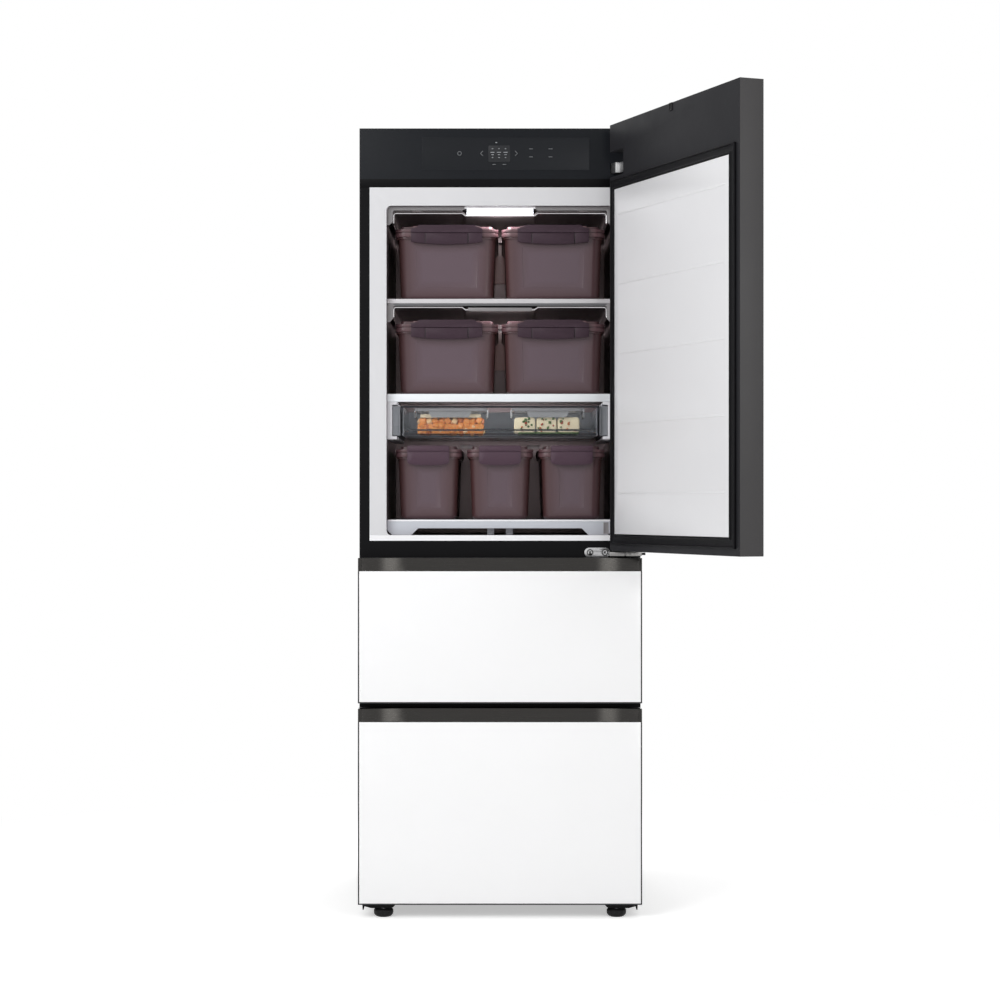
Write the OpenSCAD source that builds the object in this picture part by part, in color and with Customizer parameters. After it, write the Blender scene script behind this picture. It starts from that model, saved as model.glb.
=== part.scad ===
// Stand kimchi refrigerator: a compartment behind a side-hinged door above two drawers.
// The origin is the centre of the closed refrigerator's footprint, on the floor.
// +X is to the right, +Y to the back and +Z up. The door stands open, as drawn.

/* [Cabinet] */
// Overall width
case_w = 666; // [600:1:820]
// Overall depth, from the glass to the back cover
case_d = 737; // [680:1:900]
// Thickness of a door or drawer front, with its gasket
front_t = 64; // [56:1:80]
// Underside of the steel case above the floor
case_lift = 34; // [32:1:60]
// Insulated side wall, from the outside to the liner
wall_t = 64; // [50:1:80]
// Insulated back wall
back_wall = 92; // [60:1:120]
// Thickness of the outer steel
steel_t = 1.2; // [0.8:0.1:2]
// Thickness of the front frame and of the liners
liner_t = 2.5; // [1.5:0.5:4]
// Height of the control panel at the top
panel_h = 120; // [90:1:160]
// Depth of the control panel
panel_d = 34; // [26:1:50]

/* [Fronts] */
// Bottom of the lower drawer front above the floor
lower_z = 31; // [31:1:50]
// Height of the lower drawer front
lower_h = 459; // [380:1:560]
// Gap between the two drawer fronts
drawer_gap = 13; // [8:1:24]
// Height of the middle drawer front
middle_h = 340.5; // [300:0.5:420]
// Gap between the middle drawer and the door
door_gap = 16.5; // [16:0.5:30]
// Thickness of the glass
glass_t = 4; // [3:0.5:6]
// Dark rim beside and below the glass
rim_w = 3; // [2:0.5:6]
// Height of the grip strip above a drawer's glass
grip_h = 31; // [24:1:44]
// Depth of the grip's scoop behind the glass face
grip_deep = 25; // [18:1:30]
// How far the scoop reaches down behind the glass
grip_down = 24; // [12:1:36]

/* [Door] */
// Gap between the door's side and the case's side
door_inset = 3; // [1:0.5:6]
// Angle of the door as drawn, from closed
door_open = 111.5; // [90:0.5:118]
// Distance of the hinge pin from the door's edge
pin_in = 24; // [16:1:26]
// Distance of the hinge pin behind the glass face
pin_back = 14; // [13:0.5:18]
// Diameter of the hinge pins
pin_dia = 8; // [6:0.5:9]
// Radial running clearance of pins and shafts
run_gap = 0.05; // [0.02:0.01:0.1]
// Inset of the white inner liner from the door's sides
liner_inset = 40; // [34:1:60]
// How far the inner liner stands out
liner_proud = 6; // [3:0.5:7]
// Width of the gaskets
gasket_w = 22; // [16:1:24]
// Gap of a gasket to the cabinet when closed
gasket_gap = 1; // [0.4:0.1:1.5]

/* [Containers] */
// Height of a container with its lid and latch
box_h = 177; // [150:1:220]
// Wall of a container
box_wall = 2.5; // [2:0.5:4]
// Gap between neighbouring containers
box_gap = 8; // [5:1:14]
// Gap from a container to the side wall of the compartment
side_gap = 19; // [17:1:30]
// Height of the lid above the seam, to the latch's top
lid_h = 28; // [24:1:34]
// Corner radius of a container seen from above
box_r = 24; // [12:1:34]
// How much narrower the foot of a container is than its rim
box_taper = 24; // [18:1:36]
// Height of a latch
latch_h = 46; // [40:1:60]
// Thickness of a latch
latch_t = 6.5; // [6:0.5:8]
// Diameter of a latch's pin
latch_pin = 4; // [3:0.5:4]

/* [Shelves] */
// Front edge height of the upper shelf
trim_1 = 11; // [10:1:20]
// Front edge height of the middle shelf
trim_2 = 19; // [12:1:24]
// Height of the front edge of the bottom shelf
trim_3 = 21; // [14:1:26]
// Height of the bottom shelf's legs
leg_h = 16; // [10:1:24]
// Thickness of a shelf plate
shelf_t = 5; // [4:0.5:8]
// Room above the containers, under a shelf's edge
head_room = 38; // [34:1:60]
// Room for the utility tray between the middle shelf and the small containers
tray_room = 103; // [90:1:130]
// Height of the utility tray's walls
tray_h = 74; // [50:1:76]
// Wall of the utility tray and of the bins
tray_wall = 2.5; // [2:0.5:4]

/* [Feet] */
// Diameter of a foot
foot_dia = 46; // [36:1:60]
// Height of a foot's disc
foot_h = 19.5; // [17:0.5:22]
// Distance of the feet from the side of the case
foot_in = 59; // [45:1:110]
// Diameter of a foot's stud
stud_dia = 10; // [8:1:12]
// Diameter of the rear rollers
roller_dia = 32; // [26:1:34]

/* [Hidden] */
$fn = 40;
cut = 1;

// Planes from front to back; a gasket fills the room between a front and the cabinet
gasket_room = 8;
glass_y = -case_d / 2;
front_y = glass_y + front_t;
back_y = case_d / 2;
skin_y = front_y + liner_t;
gasket_t = gasket_room - gasket_gap;
core_y = front_y - gasket_room;
liner_back = back_y - back_wall;
steel_x = case_w / 2 - steel_t;
room_x = case_w / 2 - wall_t;

// Sill below the compartment, clear height above the upper containers, how far the white
// flange reaches past the opening, and the black strip between flange and control panel
sill_h = 36;
top_room = 4;
flange_w = 40;
flange_low = 13;
flange_up = 43;
panel_strip = 20;

// Heights
lower_top = lower_z + lower_h;
middle_z = lower_top + drawer_gap;
middle_top = middle_z + middle_h;
door_z = middle_top + door_gap;
room_z = door_z + sill_h;
deck_z = room_z + leg_h + trim_3;
shelf_2 = deck_z + box_h + tray_room + trim_2;
shelf_1 = shelf_2 + box_h + head_room + trim_1;
room_top = shelf_1 + box_h + head_room + top_room;
flange_x = room_x + flange_w;
flange_z = room_z - flange_low;
flange_top = room_top + flange_up;
panel_z = flange_top + panel_strip;
case_top = panel_z + panel_h;
corner_r = 14;

// Drawer compartments: their edges below and above the opening, measured from the glass,
// and the machine room at the back, which the middle compartment reaches over
well_grow = 1;
middle_edge = [42, 2];
lower_edge = [59, 14];
machine_d = 178;
machine_h = 266;
machine_wall = 60;
middle_over = 20;
well_x = room_x + well_grow;
middle_well = [middle_z + middle_edge[0], middle_top - grip_h - middle_edge[1]];
lower_well = [lower_z + lower_edge[0], lower_top - grip_h - lower_edge[1]];
machine_y = back_y - machine_d;
machine_top = case_lift + machine_h;
middle_back = machine_y + middle_over;
lower_back = machine_y - machine_wall;
well_flange = 20;

// Drawer slides, from the wall inwards
rail_h = 34;
rail_t = 8;
rail_gap = 0.4;
rail_len = 420;
rail_in = 4;
bin_x = well_x - 3 * (rail_t + rail_gap);
rail_y = skin_y + rail_in;

// Hinge
door_x = case_w / 2 - door_inset;
pin_x = door_x - pin_in;
pin_y = glass_y + pin_back;
notch_w = 75;
notch_h = 59;
notch_drop = 3;
arm_up = 12;
arm_h = 24;
arm_x = [-44, -4];
arm_gap = 0.5;
notch_z = panel_z - notch_drop;
arm_z = panel_z + arm_up;
plate_w = 61;
plate_in = 45;
plate_gap = 0.5;
plate_up = 6;
plate_x = pin_x - plate_in - plate_w;
low_plate_z = middle_top + plate_gap;
low_plate_h = door_gap + plate_up;

// Containers: their place behind the front, the room behind them and behind the duct panel,
// and the play that the three narrow ones have beside the gap
box_in = 37;
box_behind = 32;
duct_room = 70;
duct_t = 8;
shelf_in = 20;
shelf_behind = 14;
small_play = 5;
box_front = front_y + box_in;
duct_y = liner_back - duct_room;
box_d = duct_y - box_behind - box_front;
shelf_back = duct_y - shelf_behind;
shelf_front = front_y + shelf_in;
wide_w = room_x - side_gap - box_gap / 2;
small_w = (2 * (room_x - side_gap) - 2 * (box_gap + small_play)) / 3;
wide_x = (wide_w + box_gap) / 2;
small_x = small_w + box_gap + small_play;
lid_rim = 18;
latch_wide = 85;
latch_small = 50;

// Utility tray: above the narrow containers, beside its channels and short of the shelf's back
tray_lift = 20;
tray_in = 33;
tray_short = 60;
guide_drop = 6;
tray_z = deck_z + box_h + tray_lift;
tray_x = room_x - tray_in;
tray_back = shelf_back - tray_short;
guide_z = tray_z - guide_drop;
guide_top = shelf_2 - trim_2;

module box(x0, x1, y0, y1, z0, z1) {
    translate([x0, y0, z0]) cube([x1 - x0, y1 - y0, z1 - z0]);
}

module mid_box(x, y0, y1, z0, z1) {
    box(-x, x, y0, y1, z0, z1);
}

// Mirrors a piece to the other side as well
module both_sides() {
    children();
    mirror([1, 0, 0]) children();
}

function corner_points(x, y, r, start, n = 5) =
    [for (i = [0:n]) [x + r * cos(start + 90 * i / n), y + r * sin(start + 90 * i / n)]];

function round_points(w, d, r) = concat(
    corner_points(w / 2 - r, d / 2 - r, r, 0),
    corner_points(r - w / 2, d / 2 - r, r, 90),
    corner_points(r - w / 2, r - d / 2, r, 180),
    corner_points(w / 2 - r, r - d / 2, r, 270));

// A rounded plate standing on z
module plate(w, d, r, h) {
    linear_extrude(h) polygon(round_points(w, d, r));
}

// A rounded block that runs from y0 to y1, with its outline in X and Z
module tunnel(x, y0, y1, z0, z1, r) {
    translate([0, y1, (z0 + z1) / 2])
        rotate([90, 0, 0])
            linear_extrude(y1 - y0) polygon(round_points(2 * x, z1 - z0, r));
}

// A block with rounded corners that widens from its foot to its rim
module taper(w1, d1, w2, d2, r, h) {
    low = round_points(w1, d1, r);
    high = round_points(w2, d2, r);
    n = len(low);
    polyhedron(
        points = concat([for (p = low) [p[0], p[1], 0]], [for (p = high) [p[0], p[1], h]]),
        faces = concat(
            [[for (i = [0:n - 1]) i]],
            [[for (i = [n - 1:-1:0]) n + i]],
            [for (i = [0:n - 1]) [i, n + i, (i + 1) % n]],
            [for (i = [0:n - 1]) [n + i, n + (i + 1) % n, (i + 1) % n]]));
}

// ---- Cabinet ----

module outer_case() {
    color("dimgray") difference() {
        mid_box(case_w / 2, front_y, back_y - steel_t, case_lift, case_top);
        mid_box(steel_x, front_y - cut, back_y, case_lift - cut, case_top - steel_t);
    }
}

inlet_in = 90;
inlet_up = 200;
inlet_size = [28, 20];
inlet_x = case_w / 2 - inlet_in;
inlet_z = case_lift + inlet_up;

module back_cover() {
    louvre_h = 5;
    color("gainsboro") difference() {
        mid_box(case_w / 2, back_y - steel_t, back_y, case_lift, case_top);
        for (column = [-1, 1], row = [0:6])
            translate([column * 130, back_y, case_lift + 50 + row * 18])
                cube([180, 3 * steel_t, louvre_h], center = true);
        translate([inlet_x, back_y, inlet_z])
            cube([inlet_size[0] + 0.4, 3 * steel_t, inlet_size[1] + 0.4], center = true);
    }
}

foot_x = case_w / 2 - foot_in;
foot_y = front_y - 34;

// Tapering bracket that carries a foot, with a short tab at its outer end
module foot_bracket() {
    t = 4;
    z = foot_h + 2;
    top = min(z + 7.5, lower_z - 1);
    inner = -28;
    outer = 49;
    difference() {
        union() {
            translate([foot_x, front_y + 60, 0]) rotate([90, 0, 0]) linear_extrude(112)
                polygon([[inner, top], [inner + 5, z + 2], [inner + 12, z], [28, z],
                    [outer, top - 2], [outer, top]]);
            translate([foot_x, front_y - 32, 0]) rotate([90, 0, 0]) linear_extrude(18)
                polygon([[outer - 5, top], [outer - 3, z - t], [outer, z - t], [outer, top]]);
            box(foot_x + inner, foot_x + outer, front_y + 60 - t, front_y + 60,
                top - 1, case_lift + steel_t);
        }
        translate([foot_x, foot_y, 0]) cylinder(d = stud_dia + 2 * run_gap, h = 2 * case_lift);
    }
}

roller_in = 80;
roller_x = case_w / 2 - roller_in;
roller_y = back_y - 60;
axle_dia = 6;

module base_pan() {
    color("slategray") {
        mid_box(steel_x, skin_y, back_y - steel_t, case_lift, case_lift + steel_t);
        mid_box(steel_x, machine_y, machine_y + steel_t, case_lift + steel_t, machine_top);
        mid_box(steel_x, machine_y, back_y - steel_t, machine_top, machine_top + steel_t);
        both_sides() foot_bracket();
        both_sides()
            difference() {
                for (side = [-1, 1])
                    box(roller_x + side * 13 - 1.5, roller_x + side * 13 + 1.5,
                        roller_y - 14, roller_y + 14, roller_dia / 2 - 7, case_lift);
                translate([roller_x - 30, roller_y, roller_dia / 2]) rotate([0, 90, 0])
                    cylinder(d = axle_dia + 2 * run_gap, h = 60);
            }
    }
}

module upper_tub() {
    tunnel(room_x + liner_t, front_y, liner_back, room_z - liner_t, room_top + liner_t, corner_r);
}

module well_tub(well, back) {
    tunnel(well_x + liner_t, front_y, back, well[0] - liner_t, well[1] + liner_t, corner_r);
}

module insulation_foam() {
    color("khaki") difference() {
        mid_box(steel_x, skin_y, back_y - steel_t, case_lift + steel_t, case_top - steel_t);
        mid_box(steel_x + cut, machine_y, back_y, case_lift, machine_top + steel_t);
        mid_box(steel_x + cut, front_y, front_y + panel_d, flange_top, case_top);
        upper_tub();
        well_tub(middle_well, middle_back);
        well_tub(lower_well, lower_back);
    }
}

// Ledge that carries a shelf along the side wall
module ledge(z) {
    both_sides() box(room_x - 8, room_x + 0.5, shelf_front + 12, shelf_back, z - 6, z);
}

module upper_liner() {
    color("gainsboro") {
        difference() {
            union() {
                upper_tub();
                mid_box(flange_x, front_y, skin_y, flange_z, flange_top);
            }
            tunnel(room_x, front_y - cut, liner_back - liner_t, room_z, room_top, corner_r - liner_t);
        }
        ledge(shelf_1 - shelf_t);
        ledge(shelf_2 - shelf_t);
    }
}

module well_liner(well, back) {
    difference() {
        union() {
            well_tub(well, back);
            mid_box(well_x + well_flange, front_y, skin_y, well[0] - well_flange, well[1] + well_flange);
        }
        tunnel(well_x, front_y - cut, back - liner_t, well[0], well[1], corner_r - liner_t);
    }
}

module drawer_liners() {
    color("darkgray") {
        well_liner(middle_well, middle_back);
        well_liner(lower_well, lower_back);
    }
}

screw_x = [plate_x + 13, plate_x + 48.5];
screw_z = low_plate_z + low_plate_h / 2;
screw_dia = 5;

// Holes for the lower hinge's screws
module screw_holes(dia, y0, y1) {
    for (x = screw_x)
        translate([x, y1, screw_z]) rotate([90, 0, 0]) cylinder(d = dia, h = y1 - y0);
}

module front_frame() {
    color("#151517") difference() {
        mid_box(steel_x, front_y, skin_y, case_lift, flange_top);
        mid_box(flange_x, front_y - cut, skin_y + cut, flange_z, flange_top + cut);
        for (well = [middle_well, lower_well])
            mid_box(well_x + well_flange, front_y - cut, skin_y + cut,
                well[0] - well_flange, well[1] + well_flange);
        screw_holes(screw_dia, front_y - cut, skin_y + cut);
    }
}

// Slot in the panel that the upper hinge's arm passes through
module arm_slot(y0, y1) {
    box(pin_x + arm_x[0] - arm_gap, pin_x + arm_x[1] + arm_gap, y0, y1,
        arm_z - arm_gap, arm_z + arm_h + arm_gap);
}

module control_panel() {
    bevel = 3;
    color("#222428") difference() {
        translate([-steel_x, 0, 0]) rotate([90, 0, 90]) linear_extrude(2 * steel_x) polygon([
            [front_y + bevel, flange_top], [front_y + panel_d, flange_top],
            [front_y + panel_d, case_top - steel_t], [front_y, case_top - steel_t],
            [front_y, panel_z]]);
        mid_box(steel_x - 4, front_y + 8, front_y + panel_d + cut, panel_z + 6, case_top - 8);
        arm_slot(front_y - cut, front_y + panel_d + cut);
    }
}

light_x = 79;

module ceiling_light() {
    color("white") difference() {
        mid_box(light_x, shelf_front, shelf_front + 46, room_top - 22, room_top);
        mid_box(light_x - 3, shelf_front + 3, shelf_front + 43, room_top - 18, room_top - 6);
    }
}

fan_up = 60;
fan_z = shelf_1 + fan_up;
fan_dia = 110;
fan_y = duct_y + duct_t + 8;
shaft_dia = 5;

module duct_panel() {
    slot_w = 36;
    slot_h = 8;
    color("lightslategray") {
        difference() {
            tunnel(room_x, duct_y, duct_y + duct_t, room_z, room_top, corner_r - liner_t);
            for (z = [shelf_1 + box_h + 8, shelf_2 + box_h + 10, tray_z - 12, deck_z - 16],
                column = [-2:2])
                translate([column * 84, duct_y, z])
                    cube([slot_w, 3 * duct_t, slot_h], center = true);
        }
        // Motor of the fan, on its three arms
        translate([0, fan_y + 18, fan_z]) rotate([-90, 0, 0]) difference() {
            cylinder(d = 40, h = 22);
            translate([0, 0, -cut]) cylinder(d = shaft_dia + 2 * run_gap, h = 14);
        }
        for (turn = [90, 210, 330])
            translate([0, 0, fan_z]) rotate([0, turn, 0]) {
                box(15, fan_dia / 2 + 12, fan_y + 30, fan_y + 34, -3, 3);
                box(fan_dia / 2 + 6, fan_dia / 2 + 12, duct_y + duct_t - 1, fan_y + 34, -3, 3);
            }
    }
}

module evaporator_fan() {
    blades = 5;
    color("ivory") translate([0, fan_y, fan_z]) rotate([-90, 0, 0]) {
        cylinder(d = 34, h = 14);
        cylinder(d = shaft_dia, h = 28);
        for (i = [0:blades - 1])
            rotate([0, 0, i * 360 / blades])
                translate([(fan_dia + 24) / 4, 0, 7]) rotate([30, 0, 0])
                    cube([(fan_dia - 24) / 2, 26, 2], center = true);
    }
}

// Sheet that spreads cold air, lower in the middle, hung below the height it hangs from
module air_guide(z, hang, lamp) {
    x = room_x - 11;
    t = 1.5;
    drop = 6;
    centre = light_x + 3;
    difference() {
        translate([0, shelf_back, z]) rotate([90, 0, 0])
            linear_extrude(shelf_back - shelf_front - 12) union() {
                polygon([
                    [-x, -26], [-x, -8], [-x + 3, -3], [-x + 8, 0],
                    [-centre - 8, 0], [-centre, -drop], [centre, -drop], [centre + 8, 0],
                    [x - 8, 0], [x - 3, -3], [x, -8], [x, -26],
                    [x - t, -26], [x - t, -8.6], [x - 4, -4.1], [x - 8.4, -t],
                    [centre + 8.6, -t], [centre + 0.6, -drop - t],
                    [-centre - 0.6, -drop - t], [-centre - 8.6, -t],
                    [-x + 8.4, -t], [-x + 4, -4.1], [-x + t, -8.6], [-x + t, -26]]);
                for (side = [-1, 1])
                    translate([side * (x - 60) - 10, -t]) square([20, hang + t]);
            }
        if (lamp) mid_box(light_x + 1, front_y, shelf_front + 47, z - 30, z + hang + cut);
    }
}

module air_guides() {
    color("silver") {
        air_guide(room_top - 10, 10, true);
        air_guide(shelf_1 - trim_1 - 6, trim_1 - shelf_t + 6, false);
    }
}

// Tubes with fins, as wide as 2 * x, standing on z0 between y0 and y1
module finned_coil(x, y0, y1, z0, rows, pitch, fins) {
    tube = 8;
    mid_y = (y0 + y1) / 2;
    for (i = [0:rows - 1])
        translate([-x, mid_y, z0 + pitch * (i + 0.5)]) rotate([0, 90, 0])
            cylinder(d = tube, h = 2 * x);
    for (i = [0:rows - 2])
        translate([(i % 2 == 0 ? 1 : -1) * (x - tube / 2), mid_y, z0 + pitch * (i + 0.5)])
            cylinder(d = tube, h = pitch);
    for (i = [0:fins - 1])
        translate([-x + 14 + i * (2 * x - 28) / (fins - 1) - 0.5, y0, z0])
            cube([1, y1 - y0, rows * pitch]);
}

module evaporator() {
    color("lightsteelblue")
        finned_coil(room_x - 50, liner_back - liner_t - 44, liner_back - liner_t,
            shelf_2 - 60, 8, 24, 16);
}

// Shelf plate with a deeper front edge and a back stop
module shelf(top, trim) {
    mid_box(room_x - 0.5, shelf_front, shelf_back, top - shelf_t, top);
    mid_box(room_x - 0.5, shelf_front, shelf_front + 11, top - trim, top - shelf_t);
    mid_box(room_x - 0.5, shelf_back - 4, shelf_back, top, top + 10);
}

module shelves() {
    color("aliceblue") {
        shelf(shelf_1, trim_1);
        shelf(shelf_2, trim_2);
    }
}

module bottom_shelf() {
    x = room_x - 0.5;
    leg_in = 58;
    slant = 16;
    wall = 6;
    corner = corner_r - liner_t;
    color("#d6d7dc") {
        difference() {
            translate([0, shelf_back, 0]) rotate([90, 0, 0])
                linear_extrude(shelf_back - shelf_front) polygon([
                    [-x, deck_z], [-x, room_z + corner], [-x + corner, room_z],
                    [-x + leg_in, room_z], [-x + leg_in + slant, room_z + leg_h],
                    [x - leg_in - slant, room_z + leg_h], [x - leg_in, room_z],
                    [x - corner, room_z], [x, room_z + corner], [x, deck_z]]);
            mid_box(x - wall, shelf_front + wall, shelf_back + cut, room_z - cut, deck_z - shelf_t);
        }
        // Two props under the deck
        both_sides() box(14, 31, shelf_front + 40, shelf_front + 52, room_z, deck_z - shelf_t);
    }
}

// White channel on each side that carries the tray
guide_t = 7;
guide_web = 12;

module tray_guides() {
    reach = 24;
    color("whitesmoke") both_sides() {
        box(room_x - guide_web - 0.5, room_x - 0.5, shelf_front, tray_back, guide_z, guide_top);
        box(room_x - reach, room_x - 0.5, shelf_front, tray_back, guide_top - guide_t, guide_top);
        box(room_x - reach, room_x - 0.5, shelf_front, tray_back, guide_z, guide_z + guide_t);
    }
}

compressor_x = -150;
compressor_y = machine_y + 92;

module compressor() {
    r = 70;
    foot_z = case_lift + steel_t;
    color("#2a2a2c") translate([compressor_x, compressor_y, foot_z]) {
        translate([0, 0, 12]) rotate_extrude() polygon([
            [0, 0], [r - 12, 0], [r - 3, 8], [r, 20], [r, 74], [r + 3, 76], [r + 3, 82], [r, 84],
            [r, 120], [r - 5, 138], [r - 18, 152], [r - 40, 160], [0, 162]]);
        translate([-85, -50, 8]) cube([170, 100, 5]);
        for (x = [-70, 70], y = [-38, 38]) translate([x, y, 0]) cylinder(d = 22, h = 8);
        // Suction and discharge stubs
        for (side = [-1, 1])
            translate([side * 30, 0, 162]) cylinder(d = 8, h = 36);
    }
}

module condenser() {
    color("#46484c")
        translate([120, 0, 0])
            finned_coil(130, machine_y + 50, machine_y + 130, case_lift + steel_t, 6, 30, 12);
}

pin_up = 40;

// Arm that leaves the panel, turns towards the pin and ends in a boss round it
module upper_hinge() {
    boss = 16;
    front = front_t - pin_back;
    neck = 26;
    translate([pin_x, pin_y, arm_z]) {
        linear_extrude(arm_h) union() {
            circle(d = boss);
            polygon([[arm_x[0], front + panel_d], [arm_x[0], front], [-33.5, neck], [-24, neck],
                [-boss / 2, 0], [-1, boss / 2 - 1], [-9.5, neck + 1], [arm_x[1], front],
                [arm_x[1], front + panel_d]]);
        }
        translate([0, 0, arm_h]) cylinder(d = pin_dia, h = pin_up);
    }
}

washer_t = 3;
plate_t = 3;
low_arm_z = low_plate_z + 4;

module lower_hinge() {
    round_end = low_plate_h / 2;
    strap_lap = 4;
    strap_gap = 1;
    difference() {
        union() {
            hull() for (x = [round_end, plate_w - round_end])
                translate([plate_x + x, front_y, screw_z]) rotate([90, 0, 0])
                    cylinder(r = round_end, h = plate_t);
            linear_extrude_at(low_arm_z, door_z - washer_t) union() {
                translate([pin_x, pin_y]) circle(d = 28);
                translate([pin_x - plate_in - strap_lap, pin_y - 2])
                    square([plate_in + strap_lap + 14, front_y - strap_gap - pin_y + 2]);
                translate([pin_x, pin_y - 12]) square([26, 12]);
            }
        }
        screw_holes(screw_dia + 0.5, front_y - plate_t - cut, front_y + cut);
    }
    translate([pin_x, pin_y, door_z - washer_t]) {
        cylinder(d = 18, h = washer_t);
        cylinder(d = pin_dia, h = washer_t + 26);
    }
}

module linear_extrude_at(z0, z1) {
    translate([0, 0, z0]) linear_extrude(z1 - z0) children();
}

module door_hinges() {
    color("silver") {
        upper_hinge();
        lower_hinge();
    }
}

module hinge_screws() {
    head = 15;
    slot = 1.8;
    color("lightgray") for (x = screw_x)
        translate([x, front_y - plate_t, screw_z]) rotate([90, 0, 0]) difference() {
            union() {
                translate([0, 0, -plate_t - liner_t])
                    cylinder(d = screw_dia, h = plate_t + liner_t + 0.5);
                cylinder(d = head, h = 3);
            }
            for (turn = [45, 135])
                rotate([0, 0, turn]) translate([-4, -slot / 2, 1.2]) cube([8, slot, 2]);
        }
}

// Bar with a groove, from y0 over the slide's length
module rail(x0, z, y0, groove) {
    difference() {
        box(x0, x0 + rail_t, y0, y0 + rail_len, z, z + rail_h);
        box(x0 - cut, x0 + groove, y0 - cut, y0 + rail_len + cut, z + 8, z + rail_h - 8);
    }
}

middle_rail_z = (middle_well[0] + middle_well[1]) / 2;
lower_rail_z = lower_well[1] - 110;

module outer_rails() {
    color("lightgray") for (z = [middle_rail_z, lower_rail_z])
        both_sides() rail(well_x - rail_t, z, rail_y, 3);
}

// Socket that ends flush with the back cover, with its flange behind it
module power_inlet() {
    half = inlet_size / 2;
    wall = 2.8;
    flange = 6;
    color("#1c1c1e") translate([inlet_x, 0, inlet_z]) difference() {
        union() {
            box(-half[0] - flange, half[0] + flange, back_y - steel_t - 3, back_y - steel_t,
                -half[1] - flange, half[1] + flange);
            box(-half[0], half[0], back_y - 18, back_y, -half[1], half[1]);
        }
        box(wall - half[0], half[0] - wall, back_y - 14, back_y + cut, wall - half[1], half[1] - wall);
    }
}

module foot() {
    grips = 12;
    r = foot_dia / 2;
    color("#19191b") translate([0, foot_y, 0]) {
        difference() {
            // Bowl that swells from its sole to the rim
            rotate_extrude() polygon([
                [0, 0], [r - 9, 0], [r - 5, 1.5], [r - 1.5, 5], [r, 9],
                [r, foot_h - 4], [r - 2, foot_h - 1.5], [r - 5, foot_h], [0, foot_h]]);
            for (i = [0:grips - 1])
                rotate([0, 0, i * 360 / grips]) translate([r, 0, 7]) cylinder(d = 2, h = foot_h);
        }
        translate([0, 0, foot_h]) cylinder(d = stud_dia, h = 9);
    }
}

module left_foot() {
    translate([-foot_x, 0, 0]) foot();
}

module right_foot() {
    translate([foot_x, 0, 0]) foot();
}

module rear_rollers() {
    color("#2b2b2d") both_sides() translate([roller_x, roller_y, roller_dia / 2]) rotate([0, 90, 0]) {
        translate([0, 0, -10]) cylinder(d = roller_dia, h = 20);
        translate([0, 0, -16]) cylinder(d = axle_dia, h = 32);
    }
}

// ---- Door, drawn closed and swung open about its pin ----

module swing() {
    translate([pin_x, pin_y, 0]) rotate([0, 0, door_open]) translate([-pin_x, -pin_y, 0]) children();
}

glass_edge = 2;

module door_glass() {
    color("white") swing()
        mid_box(door_x - glass_edge, glass_y, glass_y + glass_t, door_z + glass_edge, case_top - glass_edge);
}

module door_body() {
    bore = pin_dia + 2 * run_gap;
    color("#35363a") swing() difference() {
        mid_box(door_x, glass_y, core_y, door_z, case_top);
        mid_box(door_x - glass_edge, glass_y - cut, glass_y + glass_t,
            door_z + glass_edge, case_top - glass_edge);
        box(door_x - notch_w, door_x + cut, glass_y + glass_t + 1.5, core_y + cut,
            notch_z, notch_z + notch_h);
        translate([pin_x, pin_y, notch_z + notch_h - cut]) cylinder(d = bore, h = 24);
        translate([pin_x, pin_y, door_z - cut]) cylinder(d = bore, h = 30);
    }
}

liner_z = room_z + 4;
liner_top = flange_top - 16;

module door_liner() {
    ribs = 5;
    rib_h = 5;
    step = 0.202 * (liner_top - liner_z);
    first = liner_z + 0.115 * (liner_top - liner_z);
    x = door_x - liner_inset;
    color("#d8d8dc") swing() {
        mid_box(x, core_y, core_y + liner_proud, liner_z, liner_top);
        for (i = [0:ribs - 1])
            mid_box(x - 20, core_y + liner_proud, core_y + liner_proud + 1,
                first + i * step, first + i * step + rib_h);
    }
}

// Ring on the inner face of a front, round the opening x by z0 to z1
module gasket_ring(x, z0, z1) {
    difference() {
        mid_box(x + gasket_w, core_y, core_y + gasket_t, z0 - gasket_w, z1 + gasket_w);
        mid_box(x, core_y - cut, core_y + gasket_t + cut, z0, z1);
    }
}

module door_gasket() {
    color("#101012") swing() gasket_ring(door_x - liner_inset + 2, liner_z - 2, liner_top + 2);
}

// ---- Drawers ----

module drawer_glass(z, top) {
    mid_box(case_w / 2 - rim_w, glass_y, glass_y + glass_t, z + rim_w, top - grip_h);
}

// Scoop of a grip: how far from the sides it ends, curves in and gets its deep pocket
scoop_end = 8;
scoop_bend = 133;
pocket_end = 100;
scoop_thin = 7;

// Back wall of the scoop: flat in the middle, curving forward to the ends
function scoop_y(x) =
    let (flat = case_w / 2 - scoop_bend, run = (abs(x) - flat) / (scoop_bend - scoop_end))
    glass_y + (run <= 0 ? grip_deep
        : scoop_thin + (grip_deep - scoop_thin) * (0.5 + 0.5 * cos(180 * run)));

module scoop(front) {
    half = case_w / 2 - scoop_end;
    steps = 24;
    curve = [for (i = [0:steps]) let (x = -half + i * 2 * half / steps) [x, scoop_y(x)]];
    polygon(concat([[half, front], [-half, front]], curve));
}

lip_t = 3;

module drawer_grip(z_top) {
    glass_top = z_top - grip_h;
    color("#3d3b3a") difference() {
        mid_box(case_w / 2, glass_y + glass_t, glass_y + grip_deep + 8, glass_top - grip_down - 3, z_top);
        translate([0, 0, glass_top]) linear_extrude(grip_h + cut) scoop(glass_y - cut);
        translate([0, 0, glass_top - grip_down]) linear_extrude(grip_down + cut)
            intersection() {
                scoop(glass_y + glass_t + lip_t);
                translate([pocket_end - case_w / 2, glass_y]) square([case_w - 2 * pocket_end, front_t]);
            }
    }
}

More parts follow.
